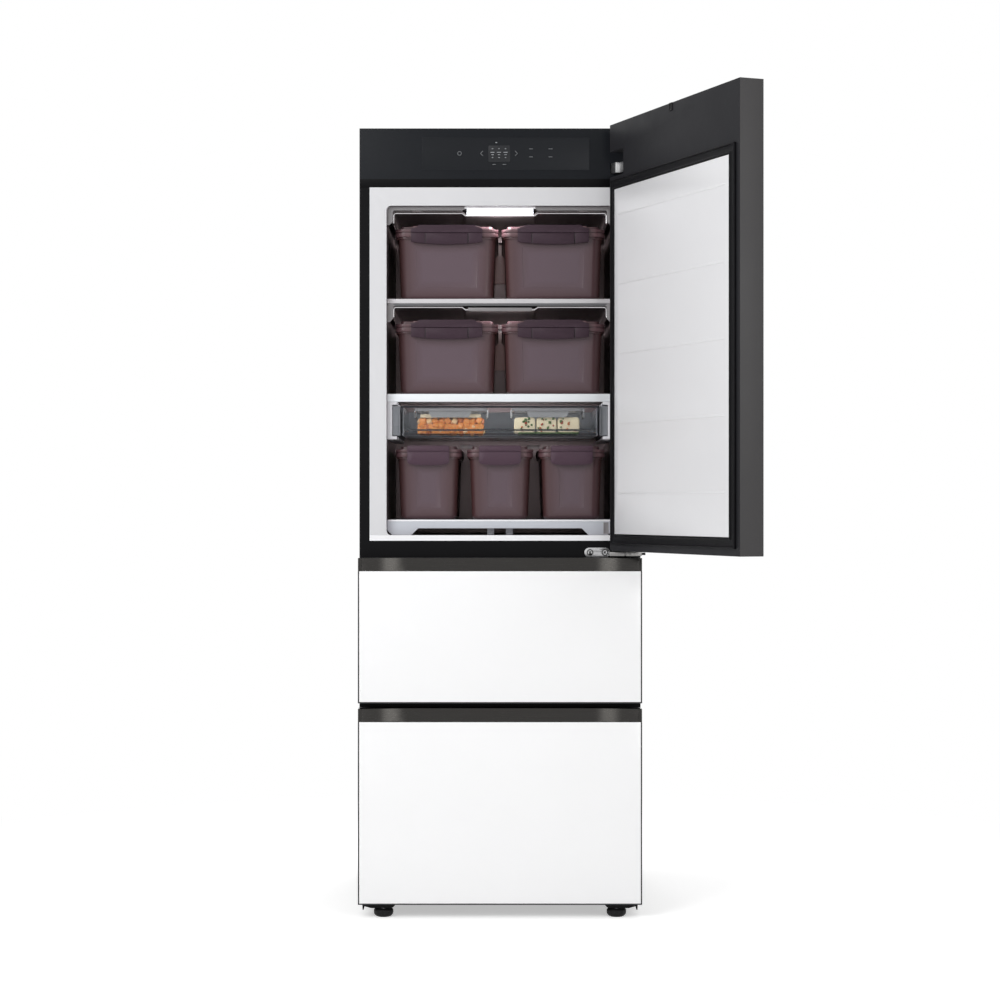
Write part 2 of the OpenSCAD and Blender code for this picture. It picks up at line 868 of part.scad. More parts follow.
// Insulated front with its dark rim, and the two inner slides that carry the bin
module drawer_core(z, top, rail_z) {
    glass_top = top - grip_h;
    grip_low = glass_top - grip_down - 3;
    color("#2c2c2f") {
        difference() {
            mid_box(case_w / 2, glass_y, core_y, z, top);
            mid_box(case_w / 2 - rim_w, glass_y - cut, glass_y + glass_t, z + rim_w, glass_top);
            mid_box(case_w / 2 + cut, glass_y + glass_t, glass_y + grip_deep + 8, grip_low, top + cut);
            mid_box(case_w / 2 + cut, glass_y - cut, glass_y + glass_t + cut, glass_top, top + cut);
        }
        both_sides() {
            rail(bin_x, rail_z, rail_y, 0);
            box(bin_x, bin_x + rail_t, core_y, rail_y, rail_z, rail_z + rail_h);
        }
    }
}

module drawer_bin(z0, z1, back) {
    wall = tray_wall;
    color("#c9cacf") difference() {
        translate([0, (rail_y + back) / 2, z0]) plate(2 * bin_x, back - rail_y, 16, z1 - z0);
        translate([0, (rail_y + back) / 2, z0 + wall])
            plate(2 * bin_x - 2 * wall, back - rail_y - 2 * wall, 16 - wall, z1 - z0);
    }
}

module drawer_slides(rail_z) {
    color("darkgray") both_sides() rail(well_x - 2 * rail_t - rail_gap, rail_z, rail_y, 3);
}

module drawer_gasket(well) {
    color("#101012") gasket_ring(well_x, well[0] + 4, well[1] - 4);
}

module middle_glass() {
    color("#f8f8f9") drawer_glass(middle_z, middle_top);
}

module middle_core() {
    drawer_core(middle_z, middle_top, middle_rail_z);
}

module middle_grip() {
    drawer_grip(middle_top);
}

module middle_gasket() {
    drawer_gasket(middle_well);
}

module middle_bin() {
    drawer_bin(middle_well[0] + 8, middle_well[1] - 30, middle_back - 20);
}

module middle_slides() {
    drawer_slides(middle_rail_z);
}

module lower_glass() {
    color("#f8f8f9") drawer_glass(lower_z, lower_top);
}

module lower_core() {
    drawer_core(lower_z, lower_top, lower_rail_z);
}

module lower_grip() {
    drawer_grip(lower_top);
}

module lower_gasket() {
    drawer_gasket(lower_well);
}

module lower_bin() {
    drawer_bin(lower_well[0] + 8, lower_well[1] - 40, lower_back - 20);
}

module lower_slides() {
    drawer_slides(lower_rail_z);
}

// ---- Utility tray ----

module utility_tray() {
    x = tray_x;
    runner = room_x - guide_web - 1;
    runner_z = guide_z + guide_t + rail_gap;
    color("#6d7278") {
        difference() {
            mid_box(x, shelf_front + 2, tray_back, tray_z, tray_z + tray_h);
            mid_box(x - tray_wall, shelf_front + 2 + tray_wall, tray_back - tray_wall,
                tray_z + tray_wall, tray_z + tray_h + cut);
        }
        // Runners in the side channels
        both_sides() box(x, runner, shelf_front + 4, tray_back - 40, runner_z, tray_z + tray_h - 1);
    }
}

// ---- Containers ----

// Container body: its middle is at x, and it stands on z
module container(x, z, w) {
    seam = box_h - lid_h;
    rim = 7;
    foot_w = w - box_taper;
    foot_d = box_d - box_taper;
    top_w = w - 12;
    top_d = box_d - 12;
    in_w = (top_w - foot_w) / seam;
    color("#60505a") translate([x, box_front + box_d / 2, z]) difference() {
        union() {
            taper(foot_w, foot_d, top_w, top_d, box_r, seam - 1);
            translate([0, 0, seam - rim]) plate(w, box_d, box_r, rim);
        }
        translate([0, 0, box_wall])
            taper(foot_w - 2 * box_wall, foot_d - 2 * box_wall,
                top_w - 2 * box_wall + in_w, top_d - 2 * box_wall + in_w, box_r - box_wall, seam);
    }
}

latch_z = box_h - 6;

// Lid with a raised middle; an empty pin gives it a fixed latch
module lid(x, z, w, pinned) {
    seam = box_h - lid_h;
    crown_in = 15;
    ear = 12;
    color("#5a4650") translate([x, 0, z]) difference() {
        union() {
            translate([0, box_front + box_d / 2, seam]) plate(w, box_d, box_r, lid_rim);
            translate([0, box_front + box_d / 2, seam + lid_rim])
                plate(w - 2 * crown_in, box_d - 2 * crown_in, box_r - 8, lid_h - lid_rim - 2);
            if (pinned) {
                both_sides() box(68, 68 + ear, box_front - 8, box_front + crown_in + 2,
                    box_h - 11, box_h - 2);
                translate([-72, box_front - 4.75, latch_z]) rotate([0, 90, 0])
                    cylinder(d = latch_pin, h = 144);
            } else {
                translate([0, 0, box_h]) latch_pad(latch_small, latch_small - 6);
                mid_box(latch_small - 8, box_front - 3, box_front + crown_in + 2, box_h - 11, box_h - 2);
            }
        }
        translate([0, box_front + box_d / 2, seam - cut])
            plate(w - 8, box_d - 8, box_r - 4, lid_rim - 3 + cut);
        translate([0, box_front + box_d / 2, seam])
            plate(w - 2 * crown_in - 10, box_d - 2 * crown_in - 10, box_r - 12, lid_h - 5);
    }
}

// Latch pad below z = 0, narrower at its top and with a curved lower edge
module latch_pad(half, top_half) {
    bow = 6;
    steps = 8;
    y = box_front - 8;
    edge = [for (i = [0:steps]) let (u = -1 + 2 * i / steps)
        [u * half, -latch_h + bow * u * u]];
    translate([0, y + latch_t, 0]) rotate([90, 0, 0]) linear_extrude(latch_t)
        polygon(concat(edge, [[half, -13], [top_half, -13], [top_half, 0],
            [-top_half, 0], [-top_half, -13], [-half, -13]]));
}

module latch(x, z) {
    color("#46353e") translate([x, 0, z]) difference() {
        translate([0, 0, box_h]) latch_pad(latch_wide, 66);
        translate([-80, box_front - 4.75, latch_z]) rotate([0, 90, 0])
            cylinder(d = latch_pin + 2 * run_gap, h = 160);
        // Groove round the finger tab
        both_sides() box(50, 52, box_front - 9, box_front - 7, box_h - latch_h - 1, box_h - 20);
        mid_box(52, box_front - 9, box_front - 7, box_h - 20, box_h - 18);
    }
}

module box_top_left() {
    container(-wide_x, shelf_1, wide_w);
}

module box_top_right() {
    container(wide_x, shelf_1, wide_w);
}

module box_mid_left() {
    container(-wide_x, shelf_2, wide_w);
}

module box_mid_right() {
    container(wide_x, shelf_2, wide_w);
}

module box_low_left() {
    container(-small_x, deck_z, small_w);
}

module box_low_centre() {
    container(0, deck_z, small_w);
}

module box_low_right() {
    container(small_x, deck_z, small_w);
}

module lid_top_left() {
    lid(-wide_x, shelf_1, wide_w, true);
}

module lid_top_right() {
    lid(wide_x, shelf_1, wide_w, true);
}

module lid_mid_left() {
    lid(-wide_x, shelf_2, wide_w, true);
}

module lid_mid_right() {
    lid(wide_x, shelf_2, wide_w, true);
}

module lid_low_left() {
    lid(-small_x, deck_z, small_w, false);
}

module lid_low_centre() {
    lid(0, deck_z, small_w, false);
}

module lid_low_right() {
    lid(small_x, deck_z, small_w, false);
}

module latch_top_left() {
    latch(-wide_x, shelf_1);
}

module latch_top_right() {
    latch(wide_x, shelf_1);
}

module latch_mid_left() {
    latch(-wide_x, shelf_2);
}

module latch_mid_right() {
    latch(wide_x, shelf_2);
}

outer_case();
back_cover();
base_pan();
insulation_foam();
upper_liner();
drawer_liners();
front_frame();
control_panel();
ceiling_light();
duct_panel();
air_guides();
evaporator();
evaporator_fan();
shelves();
bottom_shelf();
tray_guides();
compressor();
condenser();
door_hinges();
hinge_screws();
outer_rails();
power_inlet();
left_foot();
right_foot();
rear_rollers();
door_glass();
door_body();
door_liner();
door_gasket();
middle_glass();
middle_core();
middle_grip();
middle_gasket();
middle_bin();
middle_slides();
lower_glass();
lower_core();
lower_grip();
lower_gasket();
lower_bin();
lower_slides();
utility_tray();
box_top_left();
box_top_right();
box_mid_left();
box_mid_right();
box_low_left();
box_low_centre();
box_low_right();
lid_top_left();
lid_top_right();
lid_mid_left();
lid_mid_right();
lid_low_left();
lid_low_centre();
lid_low_right();
latch_top_left();
latch_top_right();
latch_mid_left();
latch_mid_right();
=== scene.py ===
import bpy
import bmesh
import math
import random
from mathutils import Matrix, Vector


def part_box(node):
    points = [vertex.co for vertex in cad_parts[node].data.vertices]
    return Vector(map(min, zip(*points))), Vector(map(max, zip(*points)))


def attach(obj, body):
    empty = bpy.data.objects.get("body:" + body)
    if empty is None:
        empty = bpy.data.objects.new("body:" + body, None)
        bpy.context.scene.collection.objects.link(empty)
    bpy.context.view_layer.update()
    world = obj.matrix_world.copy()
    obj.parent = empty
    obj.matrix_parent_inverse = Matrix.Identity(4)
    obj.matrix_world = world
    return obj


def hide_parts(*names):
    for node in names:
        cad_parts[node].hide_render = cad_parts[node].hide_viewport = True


# Kimchi refrigerator with its door open: +X right, +Y back, +Z up.
# Camera, lamps and floor are set in metres, pieces in millimetres.

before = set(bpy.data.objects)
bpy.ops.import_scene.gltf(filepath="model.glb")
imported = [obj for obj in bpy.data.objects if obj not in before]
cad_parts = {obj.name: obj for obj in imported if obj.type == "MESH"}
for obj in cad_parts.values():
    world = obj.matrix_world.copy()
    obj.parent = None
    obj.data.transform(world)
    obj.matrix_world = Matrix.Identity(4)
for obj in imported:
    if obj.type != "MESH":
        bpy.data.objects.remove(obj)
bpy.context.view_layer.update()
scene = bpy.context.scene
mm = 0.001
print("frame loaded:", len(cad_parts), "nodes")

cameraSet = {"distance": 5.7735, "height": 0.970, "lens": 83.1, "sensor": 36.0, "shiftY": 0.004}

cameraData = bpy.data.cameras.new("camera")
cameraData.lens = cameraSet["lens"]
cameraData.sensor_width = cameraSet["sensor"]
cameraData.shift_y = cameraSet["shiftY"]
camera = bpy.data.objects.new("camera", cameraData)
camera.location = (0, -cameraSet["distance"], cameraSet["height"])
camera.rotation_euler = (math.radians(90), 0, 0)
scene.collection.objects.link(camera)
scene.camera = camera
scene.view_settings.view_transform = "Standard"

# Place, aim, size and watts of each lamp: the studio's, then a low strip in each tier
studioLamps = {
    "key": ((-2.6, -3.4, 3.0), (0, -0.2, 0.9), (2.6, 2.6), 104),
    "fill": ((2.6, -3.8, 1.8), (0, -0.2, 0.9), (2.4, 2.4), 41),
    "rear": ((0.6, 4.0, 3.0), (0, 0.3, 1.0), (3.0, 3.0), 80),
}
tierLamps = {
    "ceilingGlow": ((0, -0.262, 1.652), (0, 0.02, 1.54), (0.15, 0.02), 0.11),
    "gapGlow": ((0, -0.262, 1.648), (0, -0.1, 1.52), (0.03, 0.02), 0.14),
    "shelfGlow": ((0, -0.255, 1.426), (0, 0.05, 1.32), (0.14, 0.02), 0.2),
    "trayGlow": ((0, -0.24, 1.222), (0, -0.15, 1.13), (0.42, 0.03), 0.42),
    "deckGlow": ((0, -0.24, 1.122), (0, 0.1, 1.0), (0.42, 0.02), 0.08),
}


def addLamp(name, place, aim, size, watts):
    data = bpy.data.lights.new(name, "AREA")
    data.shape = "RECTANGLE"
    data.size, data.size_y = size
    data.energy = watts
    lamp = bpy.data.objects.new(name, data)
    lamp.location = place
    lamp.rotation_euler = (Vector(aim) - Vector(place)).to_track_quat("-Z", "Y").to_euler()
    scene.collection.objects.link(lamp)
    return lamp


for name, settings in studioLamps.items():
    addLamp(name, *settings)
for name, settings in tierLamps.items():
    addLamp(name, *settings).visible_camera = False


def feed(tree, value, socket):  # sets a plain value, or links another node's output
    if isinstance(value, bpy.types.NodeSocket):
        tree.links.new(value, socket)
    else:
        socket.default_value = value


def addNode(tree, kind, inputs=None, **settings):  # settings first: they choose the sockets
    node = tree.nodes.new("ShaderNode" + kind)
    for key, value in settings.items():
        setattr(node, key, value)
    for key, value in (inputs or {}).items():
        feed(tree, value, node.inputs[key])
    return node


def mathNode(tree, operation, *values, clamp=False):
    node = addNode(tree, "Math", dict(enumerate(values)), operation=operation, use_clamp=clamp)
    return node.outputs[0]


def shaderMix(tree, factor, first, second):
    return addNode(tree, "MixShader", {0: factor, 1: first, 2: second}).outputs[0]


def seenRays(tree):  # 1 for the rays that should meet the white backdrop
    path = addNode(tree, "LightPath")
    total = path.outputs["Is Camera Ray"]
    for ray in ("Is Glossy Ray", "Is Transmission Ray"):
        total = mathNode(tree, "ADD", total, path.outputs[ray], clamp=True)
    return total


worldSet = {"lit": 0.46, "seen": 1.0}  # strength as light, and as the backdrop
world = bpy.data.worlds.new("studio")
scene.world = world
world.use_nodes = True
sky = world.node_tree
sky.nodes.clear()
litBack, seenBack = [addNode(sky, "Background", {"Color": (1, 1, 1, 1), "Strength": strength})
    for strength in (worldSet["lit"], worldSet["seen"])]
addNode(sky, "OutputWorld", {0: shaderMix(sky, seenRays(sky), litBack.outputs[0],
    seenBack.outputs[0])})
print("camera, lamps and world set")

# Hands: selecting, editing, finishing


def deselectAll():
    active = bpy.context.view_layer.objects.active
    if active and active.mode != "OBJECT":
        bpy.ops.object.mode_set(mode="OBJECT")
    bpy.ops.object.select_all(action="DESELECT")


def takeUp(piece):
    deselectAll()
    piece.select_set(True)
    bpy.context.view_layer.objects.active = piece


def settle(piece):  # the place goes into the mesh, the object to the origin
    takeUp(piece)
    bpy.ops.object.transform_apply(location=True, rotation=True, scale=True)
    return piece


def named(name):
    piece = bpy.context.object
    piece.name = name
    piece.data.name = name
    return piece


def addBlock(name, low, high):
    deselectAll()
    low, high = Vector(low) * mm, Vector(high) * mm
    bpy.ops.mesh.primitive_cube_add(size=1, location=(low + high) / 2)
    piece = named(name)
    piece.scale = high - low
    return settle(piece)


def addRod(name, start, end, radius, sides=32):
    deselectAll()
    start, end = Vector(start) * mm, Vector(end) * mm
    bpy.ops.mesh.primitive_cylinder_add(vertices=sides, radius=radius * mm,
        depth=(end - start).length, location=(start + end) / 2)
    piece = named(name)
    piece.rotation_euler = (end - start).to_track_quat("Z", "Y").to_euler()
    return settle(piece)


def addTube(name, points, radius, sides=3):  # a round bar along points
    deselectAll()
    bpy.ops.curve.primitive_nurbs_path_add(location=(0, 0, 0))
    bar = bpy.context.object
    bar.data.splines.clear()
    line = bar.data.splines.new("POLY")
    line.points.add(len(points) - 1)
    for point, place in zip(line.points, points):
        point.co = (*(Vector(place) * mm), 1)
    bar.data.bevel_depth = radius * mm
    bar.data.bevel_resolution = sides
    bar.data.use_fill_caps = True
    bpy.ops.object.convert(target="MESH")
    return smoothed(named(name), 50)


def pick(piece, kind, test):  # edit mode, with what passes the test selected
    takeUp(piece)
    bpy.ops.object.mode_set(mode="EDIT")
    bpy.ops.mesh.select_mode(type=kind)
    bpy.ops.mesh.select_all(action="DESELECT")
    mesh = bmesh.from_edit_mesh(piece.data)
    chosen = [item for item in {"FACE": mesh.faces, "EDGE": mesh.edges, "VERT": mesh.verts}[kind]
        if test(item)]
    for item in chosen:
        item.select_set(True)
    bmesh.update_edit_mesh(piece.data)
    return len(chosen)


def done():
    bpy.ops.object.mode_set(mode="OBJECT")


def facing(x, y, z, limit=0.9):
    way = Vector((x, y, z))
    return lambda face: face.normal.dot(way) > limit


def middleOf(item):  # the middle of a face or an edge
    if isinstance(item, bmesh.types.BMFace):
        return item.calc_center_median() / mm
    return (item.verts[0].co + item.verts[1].co) / 2 / mm


def edgeRuns(axis, test=None):  # edges parallel to an axis
    def check(edge):
        run = (edge.verts[1].co - edge.verts[0].co).normalized()
        return abs(run[axis]) > 0.95 and (test is None or test(middleOf(edge)))
    return check


def edgeAt(test):  # edges whose middle passes the test
    return lambda edge: test(middleOf(edge))


def roundEdges(piece, test, width, segments=3):
    if pick(piece, "EDGE", test):
        bpy.ops.mesh.bevel(offset_type="OFFSET", offset=width * mm, segments=segments,
            affect="EDGES", clamp_overlap=True)
    done()
    return piece


def moved(piece, test, shift):  # moves the points that pass the test
    pick(piece, "VERT", lambda point: test(point.co / mm))
    bpy.ops.transform.translate(value=Vector(shift) * mm)
    done()
    return piece


def pinched(piece, test, x, y, about):  # scales the picked faces in X and Y
    pick(piece, "FACE", test)
    bpy.ops.transform.resize(value=(x, y, 1), center_override=Vector(about) * mm)
    done()
    return piece


def cutThrough(piece, at, way, keep="both", fill=False):  # slices along a plane
    takeUp(piece)
    bpy.ops.object.mode_set(mode="EDIT")
    bpy.ops.mesh.select_all(action="SELECT")
    bpy.ops.mesh.bisect(plane_co=Vector(at) * mm, plane_no=way, use_fill=fill,
        clear_inner=keep == "above", clear_outer=keep == "below", threshold=0.000001)
    done()
    return piece


def workFaces(piece, test, steps, about=(0, 0, 0)):  # inset, raise, shift and size, in turn
    pick(piece, "FACE", test)
    for kind, value in steps:
        if kind == "inset":
            bpy.ops.mesh.inset(thickness=value * mm, use_even_offset=True)
        elif kind == "raise":
            bpy.ops.mesh.extrude_region_move(
                TRANSFORM_OT_translate={"value": tuple(Vector(value) * mm)})
        elif kind == "shift":
            bpy.ops.transform.translate(value=Vector(value) * mm)
        else:
            bpy.ops.transform.resize(value=value, center_override=Vector(about) * mm)
    done()
    return piece


def recessed(piece, inset, sink, way=(0, -1, 0), limit=0.9):  # below zero, the field is raised
    return workFaces(piece, facing(*way, limit), [("inset", inset), ("raise", Vector(way) * -sink)])


def applied(piece, kind, **settings):
    takeUp(piece)
    modifier = piece.modifiers.new(kind.lower(), kind)
    for key, value in settings.items():
        setattr(modifier, key, value)
    bpy.ops.object.modifier_apply(modifier=modifier.name)
    return piece


def softened(piece, width, segments=2, angle=40):
    return applied(piece, "BEVEL", width=width * mm, segments=segments,
        limit_method="ANGLE", angle_limit=math.radians(angle))


def smoothed(piece, angle=35):
    takeUp(piece)
    bpy.ops.object.shade_smooth_by_angle(angle=math.radians(angle))
    return piece


def joined(name, pieces):
    deselectAll()
    for piece in pieces:
        piece.select_set(True)
    bpy.context.view_layer.objects.active = pieces[0]
    bpy.ops.object.join()
    return named(name)


def cloned(piece, name, shift=(0, 0, 0)):
    copy = bpy.data.objects.new(name, piece.data.copy())
    copy.data.name = name
    scene.collection.objects.link(copy)
    copy.data.transform(Matrix.Translation(Vector(shift) * mm))
    return copy


def copyOfNode(node, name):  # a merged copy of a CAD node, to be finished further
    piece = bpy.data.objects.new(name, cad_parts[node].data.copy())
    piece.data.name = name
    piece.data.materials.clear()
    scene.collection.objects.link(piece)
    takeUp(piece)
    if piece.data.has_custom_normals:
        bpy.ops.mesh.customdata_custom_splitnormals_clear()
    bpy.ops.object.mode_set(mode="EDIT")
    bpy.ops.mesh.select_all(action="SELECT")
    bpy.ops.mesh.remove_doubles(threshold=0.000005)
    bpy.ops.mesh.dissolve_limited(angle_limit=math.radians(0.5))
    done()
    return piece


def paintFaces(piece, kinds, choose=lambda p, n: 0):  # choose gives the finish's number
    piece.data.materials.clear()
    for kind in kinds:
        piece.data.materials.append(finish[kind])
    for face in piece.data.polygons:
        face.material_index = int(choose(face.center / mm, face.normal))
    return piece


def place(piece, body, kind=None, slotName=None, stands=None):  # no kind: already painted
    if kind:
        piece.data.materials.clear()
        piece.data.materials.append(finish[kind])
    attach(piece, body)
    if stands:
        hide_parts(stands)
    return piece


def fitted(piece, edge, body, kind=None, slotName=None, stands=None, angle=35):
    return place(smoothed(softened(piece, *edge), angle), body, kind, slotName, stands)


def roundNode(name, node, edge, body, kind, slotName):  # a CAD part with rounded edges
    return fitted(copyOfNode(node, name), edge, body, kind, slotName, node)


# Materials: four effects as node groups, then one table for each skin
noiseSet = {"slow": (4.0, 4.0, 0.5), "smear": (11.0, 5.0, 0.6), "streak": (14.0, 6.0, 0.65),
    "film": (40.0, 5.0, 0.7), "worn": (60.0, 4.0, 0.6)}  # scale, detail, roughness
effectSet = {"fineDetail": 2.0, "streakGloss": 0.06, "dustColor": (0.42, 0.4, 0.37, 1),
    "dustPatch": (0.4, 1.0), "wornAndHighlitPatch": (0.2, 1.0), "bend": (0.52, 0.62)}
plainGrey = (0.5, 0.5, 0.5, 1)


def makeGroup(name, inputs, outputs):  # gives the group, its inputs and its outputs
    group = bpy.data.node_groups.new(name, "ShaderNodeTree")
    for title, value in inputs.items():
        kind = "Float" if isinstance(value, float) else "Color" if len(value) == 4 else "Vector"
        socket = group.interface.new_socket(title, in_out="INPUT", socket_type="NodeSocket" + kind)
        socket.default_value = value
    for title in outputs:
        kind = "Color" if title == "Color" else "Float"
        group.interface.new_socket(title, in_out="OUTPUT", socket_type="NodeSocket" + kind)
    start = group.nodes.new("NodeGroupInput")
    end = group.nodes.new("NodeGroupOutput")
    return group, start.outputs, end.inputs


def objectPoint(tree, scale=(1, 1, 1)):
    coords = addNode(tree, "TexCoord")
    point = addNode(tree, "Mapping", {"Vector": coords.outputs["Object"], "Scale": scale})
    return point.outputs["Vector"]


def noiseOf(tree, point, scale, detail, rough=0.5):
    return addNode(tree, "TexNoise", {"Vector": point, "Scale": scale, "Detail": detail,
        "Roughness": rough}).outputs["Fac"]


def rangeOf(tree, value, start, end, low=0.0, high=1.0, kind="LINEAR"):  # start..end to low..high
    return addNode(tree, "MapRange", {"Value": value, "From Min": start, "From Max": end,
        "To Min": low, "To Max": high}, interpolation_type=kind).outputs["Result"]


def spread(tree, noise, low, high):  # most of a noise lies between 0.3 and 0.7
    return rangeOf(tree, noise, 0.3, 0.7, low, high)


def mixed(tree, factor, first, second, blend="MIX"):
    return addNode(tree, "Mix", {"Factor": factor, "A": first, "B": second},
        data_type="RGBA", blend_type=blend).outputs["Result"]


def shaded(group, have, noise):  # the colour, lighter and darker by Shade
    low = mathNode(group, "SUBTRACT", 1.0, have["Shade"])
    high = mathNode(group, "ADD", 1.0, have["Shade"])
    return mixed(group, 1.0, have["Color"], spread(group, noise, low, high), "MULTIPLY")


# Grain: fine moulded or sprayed skin, with a slow change of shade and gloss
def buildGrain():
    group, have, give = makeGroup("mouldedGrain", {"Color": plainGrey, "Roughness": 0.4,
        "Grain Scale": 900.0, "Shade": 0.04, "Gloss": 0.05}, ("Color", "Roughness", "Height"))
    point = objectPoint(group)
    feed(group, shaded(group, have, noiseOf(group, point, *noiseSet["slow"])), give["Color"])
    dull = mathNode(group, "MULTIPLY", have["Gloss"], -1.0)
    change = spread(group, noiseOf(group, point, *noiseSet["smear"]), dull, have["Gloss"])
    feed(group, mathNode(group, "ADD", have["Roughness"], change, clamp=True), give["Roughness"])
    fine = noiseOf(group, point, have["Grain Scale"], effectSet["fineDetail"])
    feed(group, fine, give["Height"])
    return group


# Brushing: streaks along one axis, from a stretched noise
def buildBrushing():
    group, have, give = makeGroup("brushedStreaks", {"Color": (0.6, 0.6, 0.6, 1),
        "Roughness": 0.3, "Stretch": (1, 1, 60), "Shade": 0.08}, ("Color", "Roughness", "Height"))
    streak = noiseOf(group, objectPoint(group, have["Stretch"]), *noiseSet["streak"])
    feed(group, shaded(group, have, streak), give["Color"])
    change = spread(group, streak, -effectSet["streakGloss"], effectSet["streakGloss"])
    feed(group, mathNode(group, "ADD", have["Roughness"], change, clamp=True), give["Roughness"])
    feed(group, streak, give["Height"])
    return group


# Dust: a thin grey film on faces that look up
def buildDust():
    group, have, give = makeGroup("settledDust", {"Color": plainGrey, "Roughness": 0.4,
        "Amount": 0.15}, ("Color", "Roughness"))
    normal = addNode(group, "NewGeometry").outputs["Normal"]
    upward = mathNode(group, "MULTIPLY", addNode(group, "SeparateXYZ", {0: normal}).outputs["Z"],
        have["Amount"], clamp=True)
    patchy = noiseOf(group, objectPoint(group), *noiseSet["film"])
    film = mathNode(group, "MULTIPLY", upward, spread(group, patchy, *effectSet["dustPatch"]),
        clamp=True)
    feed(group, mixed(group, film, have["Color"], effectSet["dustColor"]), give["Color"])
    feed(group, mathNode(group, "ADD", have["Roughness"], film, clamp=True), give["Roughness"])
    return group


# Edges lighter where the surface bends out sharply: rubbing on some finishes, a painted highlight
# on others (the container lids, the gasket, the grey surround)
def buildWearAndHighlight():
    group, have, give = makeGroup("wornAndHighlitEdges", {"Color": plainGrey,
        "Edge Color": (0.7, 0.7, 0.7, 1), "Amount": 0.3}, ("Color",))
    bend = rangeOf(group, addNode(group, "NewGeometry").outputs["Pointiness"], *effectSet["bend"])
    patchy = noiseOf(group, objectPoint(group), *noiseSet["worn"])
    mask = mathNode(group, "MULTIPLY", bend, spread(group, patchy, *effectSet["wornAndHighlitPatch"]),
        clamp=True)
    mask = mathNode(group, "MULTIPLY", mask, have["Amount"], clamp=True)
    feed(group, mixed(group, mask, have["Color"], have["Edge Color"]), give["Color"])
    return group


groups = {"grain": buildGrain(), "brushing": buildBrushing(), "dust": buildDust(),
    "wear": buildWearAndHighlight()}


def addEffect(tree, effect, inputs):
    return addNode(tree, "Group", inputs, node_tree=groups[effect]).outputs


def makeMaterial(name, skin, skinSet, color, roughness, bump, shade, specular=0.5, dust=0.0,
        edge=None, wear=0.25, paintedEdgeShade=None, **shaderSet):
    material = bpy.data.materials.new(name)
    material.use_nodes = True
    tree = material.node_tree
    source = addEffect(tree, skin, {"Color": (*color, 1), "Roughness": roughness,
        "Shade": shade, **skinSet})
    shown, rough = source["Color"], source["Roughness"]
    # Painted shade: a darker, redder colour where the attribute says the point is near an upright
    # edge
    if paintedEdgeShade:  # a second colour where the piece's own attribute says so
        near = addNode(tree, "Attribute", attribute_name="paintedEdgeShade")
        shown = mixed(tree, near.outputs["Fac"], shown, (*paintedEdgeShade, 1))
    if edge:
        shown = addEffect(tree, "wear", {"Color": shown, "Edge Color": (*edge, 1),
            "Amount": wear})["Color"]
    if dust:
        dusty = addEffect(tree, "dust", {"Color": shown, "Roughness": rough, "Amount": dust})
        shown, rough = dusty["Color"], dusty["Roughness"]
    relief = addNode(tree, "Bump", {"Strength": 1.0, "Distance": bump * mm,
        "Height": source["Height"]})
    shaderSet.update({"Base Color": shown, "Roughness": rough, "Normal": relief.outputs["Normal"],
        "Specular IOR Level": specular})
    for key, value in shaderSet.items():
        feed(tree, value, tree.nodes["Principled BSDF"].inputs[key])
    return material


